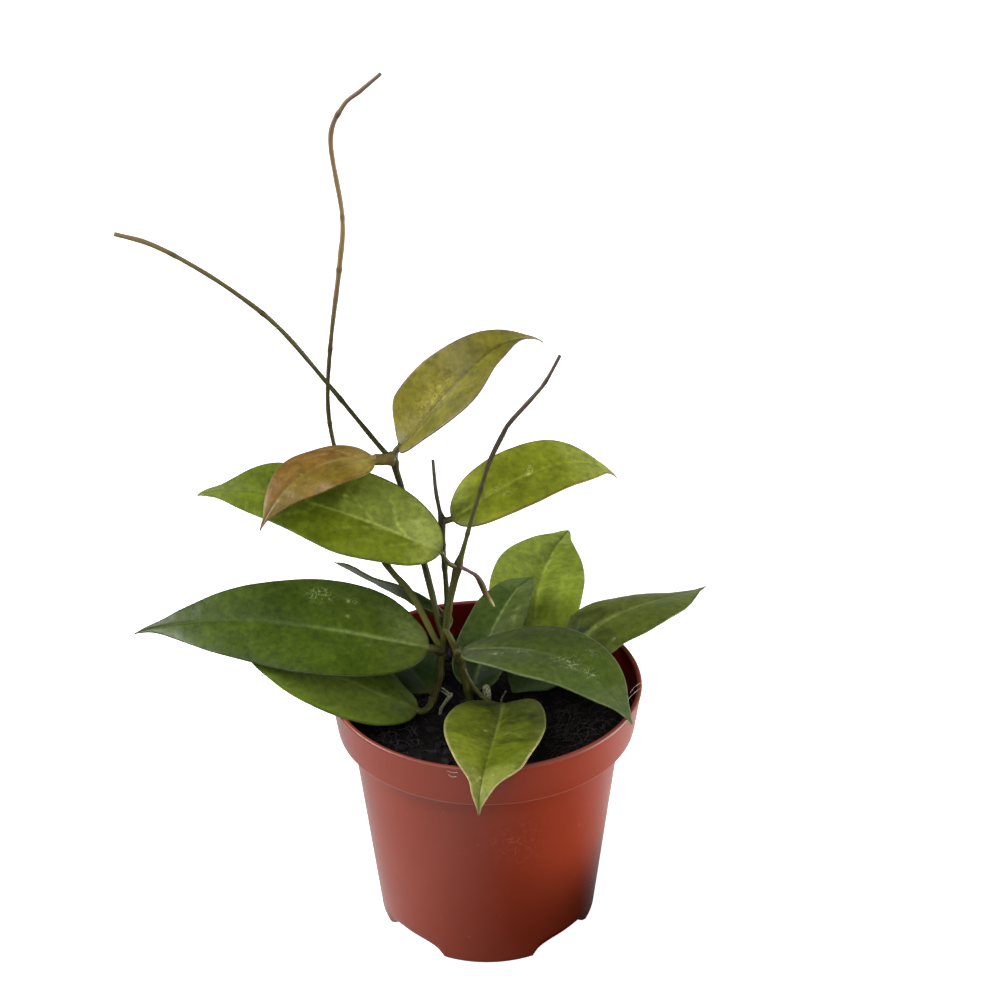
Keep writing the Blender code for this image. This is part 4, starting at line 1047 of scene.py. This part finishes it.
def pot_material():
    """Injection-moulded polypropylene, terracotta coloured: smooth and satin, with a painted highlight
    along the foot of the band and painted light on the wall just under it, fine scratches on the
    front of the wall, a lip worn matt and painted shade darkening the inside."""
    made, tree, shader = new_material("moulded_polypropylene", Specular_IOR_Level=0.5, IOR=1.49)
    place = object_place(tree)
    height = add_node(tree, "ShaderNodeSeparateXYZ", {0: place}, output="Z")
    marks = lumps(tree, place, 2.5, 6.0)
    foot = BAND_FOOT * MM
    below_line = ramp(tree, height, foot - 0.2 * MM, foot + 0.1 * MM)
    above_line = ramp(tree, height, foot + 0.1 * MM, foot - 0.2 * MM)
    lip = ramp(tree, height, (POT_HEIGHT - 1.1) * MM, (POT_HEIGHT - 0.6) * MM)
    away = add_node(tree, "ShaderNodeVectorMath", {0: place, 1: SCUFF_PLACE}, output="Value",
                    operation="DISTANCE")
    scratched = times(tree, wavy_lines(tree, place, 3, 2.0, 0.02, 0.006, 0.3),
                      ramp(tree, away, 13 * MM, 3 * MM))
    paint(tree, shader, "923822", [
        (ramp(tree, lumps(tree, place, 30, 2.0), 0.35, 0.65, high=0.5), "8A3420"),
        (ramp(tree, marks, 0.68, 0.75, high=0.3), "A66048"),
        (scratched, "B46E5C"),
        # Painted light on the wall just under the band, where the band's shade falls.
        (times(tree, ramp(tree, height, foot - 7 * MM, foot - 1 * MM, high=0.6), above_line), "A84834"),
        # Painted highlight: a pale line along the rounded foot of the band.
        (times(tree, ramp(tree, height, foot + 0.7 * MM, foot + 0.4 * MM, high=0.45), below_line), "C07A68"),
        (lip, "7A3424"),
        # Painted shade: the inside of the pot darker.
        (mesh_field(tree, "inside"), "5E0E08"),
    ])
    polish = ramp(tree, marks, 0.4, 0.7, 0.2, 0.27)
    polish = add_node(tree, "ShaderNodeMath", {0: polish, 1: times(tree, lip, 0.16)}, operation="ADD")
    tree.links.new(polish, shader.inputs["Roughness"])
    return made


def make_pot():
    lip = arc(RIM_RADIUS - LIP_BEAD, POT_HEIGHT - LIP_BEAD, LIP_BEAD, -20, 200, 16, 0)
    outside, inside = pot_outside() + lip[:11], lip[11:] + pot_inside(0.0)
    points, faces = revolve(outside + inside)
    # Marks the inside faces for the painted shade.
    inside_shade = np.repeat([0.0] * len(outside) + [1.0] * len(inside), POT_COLUMNS)
    pot = add_piece("pot_shell", points, faces, pot_material(), "pot",
                    fields={"inside": inside_shade})
    circle = [(DRAIN_HOLE_CIRCLE * math.cos(a), DRAIN_HOLE_CIRCLE * math.sin(a))
              for a in np.radians((45, 135, 225, 315))]
    drill(pot, circle, DRAIN_HOLE_RADIUS, ARCH_HEIGHT - 3, ARCH_HEIGHT + 5)


# ---------------------------------------------------------------- potting mix

SEED = 11
MOUND_SIZE = 11.0
CRUMB_SIZE = 1.9
CHIPS = 520
CHIP_SIZE = (0.5, 2.0)
CHIP_REACH = 47.0
FIBRE_REACH = 44.0
FIBRE_STEPS = 9
FIBRE_SIDES = 5
# Tufts of coir as (x, y, reach, count, heading in degrees, how far headings stray).
FIBRE_TUFTS = ((0, 0, 43, 70, 0, 180), (27, -12, 12, 60, 60, 35), (20, -20, 12, 30, 20, 60),
               (-26, -24, 10, 30, 110, 50))


def soil_height(x, y):
    """The mix's crumbled surface: broad lumps with finer ones on them."""
    mounds = noise.fractal(Vector((x / MOUND_SIZE, y / MOUND_SIZE, 0.3)), 1.0, 2.1, 4)
    crumbs = noise.noise(Vector((x / CRUMB_SIZE, y / CRUMB_SIZE, 7.1)))
    return SOIL_LEVEL + 0.9 * mounds + 0.35 * crumbs


def soil_material():
    """Peat, bark chips and coir: matt, nearly black when moist and darkened further as painted shade, with
    brown and grey crumbs.
    """
    made, tree, shader = new_material("potting_mix_crumb", Roughness=0.95, Specular_IOR_Level=0.2)
    crumbs = lumps(tree, object_place(tree), 1.2, 6.0)
    # The mix's own dark colour with painted shade on it.
    paint(tree, shader, "060404", [(ramp(tree, crumbs, 0.45, 0.7), "160F0E")])
    add_relief(tree, shader, crumbs, 0.8, 0.4)
    return made


def make_potting_mix():
    body, _ = revolve([row for row in reversed(pot_inside(CLEARANCE)) if row[1] < SOIL_LEVEL - 1.5])
    rings = [band_radius(SOIL_LEVEL, WALL + CLEARANCE), *np.linspace(48.4, 1.0, 68)]
    places = [(ring * math.cos(angle), ring * math.sin(angle)) for ring in rings for angle in turn_columns()]
    top = [(x, y, soil_height(x, y)) for x, y in places]
    points = np.concatenate([body, top])
    add_piece("potting_mix_crumbs", points, loft_faces(len(points) // POT_COLUMNS, POT_COLUMNS),
              soil_material(), "potting_mix")


def chip_corners(rng, size):
    """Corners of an irregular chip: those of a cube, its edges and its faces, pushed about."""
    directions = unit(np.array([place for place in product((-1, 0, 1), repeat=3) if any(place)], float))
    return directions * size * rng.uniform(0.7, 1.25, (len(directions), 1))


def chip_material():
    """Composted bark: matt and nearly black, partly its own colour and partly painted shade, a little
    browner from chip to chip.
    """
    made, tree, shader = new_material("bark_chips", Roughness=0.9, Specular_IOR_Level=0.25)
    share = ramp(tree, lumps(tree, object_place(tree), 6, 2.0), 0.35, 0.65)
    # The bark's own dark colour with painted shade on it.
    paint(tree, shader, "090607", [(share, "1C1416")])
    return made


def make_chips(rng):
    """Bark chips and crumbs lying on the mix."""
    shape = bmesh.new()
    for _ in range(CHIPS):
        radius, angle = CHIP_REACH * math.sqrt(rng.uniform()), rng.uniform(0, math.tau)
        x, y = radius * math.cos(angle), radius * math.sin(angle)
        size = rng.uniform(*CHIP_SIZE) * rng.uniform(0.5, 1)
        stretch = np.array([rng.uniform(0.6, 1.6), rng.uniform(0.6, 1.6), rng.uniform(0.4, 0.8)])
        spin = Matrix.Rotation(rng.uniform(0, math.tau), 3, "Z")
        place = Vector((x, y, soil_height(x, y) + 0.2 * size))
        verts = [shape.verts.new((spin @ Vector(corner) + place) * MM)
                 for corner in chip_corners(rng, size) * stretch]
        bmesh.ops.convex_hull(shape, input=verts)
    mesh = bpy.data.meshes.new("bark_chips")
    shape.to_mesh(mesh)
    shape.free()
    mesh.materials.append(chip_material())
    chips = bpy.data.objects.new("bark_chips", mesh)
    bpy.context.scene.collection.objects.link(chips)
    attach(chips, "root")


def fibre(rng, start, heading, length, radius, rise):
    """Route of one springy fibre that lies on the mix."""
    place, route = np.array(start, float), []
    bend = rng.uniform(-0.22, 0.22)
    for step in range(FIBRE_STEPS):
        lift = rise * math.sin(math.pi * step / (FIBRE_STEPS - 1))
        route.append((place[0], place[1], soil_height(*place) + 0.25 + lift, radius))
        heading += bend + rng.uniform(-0.15, 0.15)
        place = place + np.array([math.cos(heading), math.sin(heading)]) * length / FIBRE_STEPS
    return route


def make_fibres(rng):
    """Coir fibres: some everywhere, most in two tufts where the mix was pressed down."""
    routes = []
    for centre_x, centre_y, reach, count, heading, stray in FIBRE_TUFTS:
        for _ in range(count):
            radius, angle = reach * math.sqrt(rng.uniform()), rng.uniform(0, math.tau)
            start = (centre_x + radius * math.cos(angle), centre_y + radius * math.sin(angle))
            if math.hypot(*start) > FIBRE_REACH:
                continue
            turn = math.radians(heading + rng.uniform(-stray, stray))
            routes.append(fibre(rng, start, turn, rng.uniform(3, 10), rng.uniform(0.06, 0.15),
                                rng.uniform(0.2, 2.2)))
    points, faces, fields = bundle(routes, step=1.2, sides=FIBRE_SIDES)
    add_piece("coir_fibres", points, faces, fibre_material("coir_fibre", "201A1C", "463A3E", 0.8),
              None, fields=fields)


# ---------------------------------------------------------------- studio

CAMERA_PLACE = (0.0, -568.4, 458.2)
CAMERA_DOWN = 27.7
CAMERA_RIGHT = 0.51
CAMERA_ROLL = -0.32
CAMERA_LENS = 72.0
CAMERA_FILM = 36.0              # width
GROUND_REACH = 12.0             # metres
TABLE_GLOW = 1.0
TABLE_GREY = "A8A4A2"
CARD_GLOW = 0.62
# Painted shadow of the pot on the table top and the glowing sheet: its middle, its reach and its colour.
PAINTED_SHADOW_PLACE = (0.05, -0.05, 0.0)     # metres, as are the lights' places and sizes
PAINTED_SHADOW_REACH = (0.034, 0.1)
PAINTED_SHADOW_BLACK = "303030"
GOBO_CORNERS = ((130, 40, 0.5), (130, -120, 0.5), (130, -120, 62), (130, 40, 34))
ROOM_LEVEL = 0.15               # brightness of the room's walls
CEILING_LEVEL = 0.3
WHITE = (1.0, 1.0, 1.0, 1.0)
BLACK = (0.0, 0.0, 0.0, 1.0)
# Softboxes: place, point that they aim at, size and power in watts.
SOFTBOXES = {
    "softbox_left": ((-0.95, 0.05, 0.75), (0, 0, 0.1), (0.5, 0.5), 15.0),
    "softbox_front": ((-0.25, -1.1, 1.2), (0, 0, 0.12), (1.2, 0.8), 13.0),
    "softbox_right": ((0.75, 0.02, 0.13), (0, 0, 0.08), (0.5, 0.16), 7.2),
}


def make_camera():
    data = bpy.data.cameras.new("camera")
    data.lens, data.sensor_width = CAMERA_LENS, CAMERA_FILM
    data.clip_end = 20.0
    camera = bpy.data.objects.new("camera", data)
    turn = (Matrix.Rotation(-math.radians(CAMERA_RIGHT), 4, "Z")
            @ Matrix.Rotation(math.radians(90 - CAMERA_DOWN), 4, "X")
            @ Matrix.Rotation(math.radians(CAMERA_ROLL), 4, "Z"))
    camera.matrix_world = Matrix.Translation(Vector(CAMERA_PLACE) * MM) @ turn
    bpy.context.scene.collection.objects.link(camera)
    bpy.context.scene.camera = camera


def make_card(name, corners, finish, passes):
    """A flat four-cornered piece of the studio; the kinds of ray in `passes` go through it."""
    mesh = bpy.data.meshes.new(name)
    mesh.from_pydata([tuple(value * MM for value in corner) for corner in corners], [], [(0, 1, 2, 3)])
    mesh.materials.append(finish)
    card = bpy.data.objects.new(name, mesh)
    bpy.context.scene.collection.objects.link(card)
    for rays in passes:
        setattr(card, "visible_" + rays, False)


def ground_corners(height):
    far = GROUND_REACH / MM
    return (-far, -far, height), (far, -far, height), (far, far, height), (-far, far, height)


def spread_from_painted_shadow(tree, far):
    """Rises from nothing at the middle of the painted shadow, right of the pot, to `far` beyond its reach.
    """
    away = add_node(tree, "ShaderNodeVectorMath", {0: object_place(tree), 1: PAINTED_SHADOW_PLACE}, output="Value",
                    operation="DISTANCE")
    return ramp(tree, away, *PAINTED_SHADOW_REACH, high=far)


def make_floor():
    """A white light table that glows evenly, so the shadow on it stays faint.  Its glow is kept
    out of the reflections and the bounced light.  Those come from a plain grey table top and from
    a glowing sheet that is seen only in reflections, both darkened in a painted shadow right of the pot."""
    made = new_material(
        "light_table_acrylic", Roughness=0.9, Specular_IOR_Level=0.2, Base_Color=linear_colour("F4F4F4"),
        Emission_Color=WHITE, Emission_Strength=TABLE_GLOW)[0]
    make_card("floor", ground_corners(0), made, ("glossy", "diffuse"))
    made, tree, shader = new_material("table_top_grey", Roughness=0.9, Specular_IOR_Level=0.2)
    # Painted shadow: the table top black near the pot's right, grey further away.
    paint(tree, shader, PAINTED_SHADOW_BLACK, [(spread_from_painted_shadow(tree, 1.0), TABLE_GREY)])
    make_card("table_top", ground_corners(0.1), made, ("camera", "glossy", "shadow"))
    made, tree, shader = new_material("glowing_sheet", Roughness=1.0, Specular_IOR_Level=0.0,
                                      Base_Color=BLACK, Emission_Color=WHITE)
    # The same painted shadow in the sheet's glow.
    tree.links.new(spread_from_painted_shadow(tree, CARD_GLOW), shader.inputs["Emission Strength"])
    make_card("sheet", ground_corners(0.2), made, ("camera", "diffuse", "shadow"))


def make_gobo():
    """A low black card that keeps the right-hand light off the foot of the pot."""
    made = new_material("gobo_card", Roughness=1.0, Specular_IOR_Level=0.0, Base_Color=BLACK)[0]
    make_card("gobo", GOBO_CORNERS, made, ("camera", "glossy", "diffuse"))


def make_softboxes():
    for name, (place, aim, size, power) in SOFTBOXES.items():
        data = bpy.data.lights.new(name, "AREA")
        data.shape, data.size, data.size_y = "RECTANGLE", *size
        data.energy = power
        light = bpy.data.objects.new(name, data)
        light.location = place
        light.rotation_euler = (Vector(aim) - Vector(place)).to_track_quat("-Z", "Y").to_euler()
        bpy.context.scene.collection.objects.link(light)


def make_room():
    """Soft light from all round: pale walls under a brighter ceiling."""
    world = bpy.data.worlds.new("studio")
    world.use_nodes = True
    tree = world.node_tree
    heading = add_node(tree, "ShaderNodeTexCoord", {}, output="Generated")
    height = add_node(tree, "ShaderNodeSeparateXYZ", {0: heading}, output="Z")
    tree.links.new(ramp(tree, height, 0.1, 0.7, ROOM_LEVEL, CEILING_LEVEL),
                   tree.nodes["Background"].inputs["Strength"])
    tree.nodes["Background"].inputs["Color"].default_value = WHITE
    bpy.context.scene.world = world


def main():
    make_pot()
    make_potting_mix()
    rng = np.random.default_rng(SEED)
    make_chips(rng)
    make_fibres(rng)
    make_vines()
    make_small_stems()
    make_leaves()
    make_camera()
    bpy.context.scene.view_settings.view_transform = "Standard"
    make_room()
    make_floor()
    make_softboxes()
    make_gobo()


main()
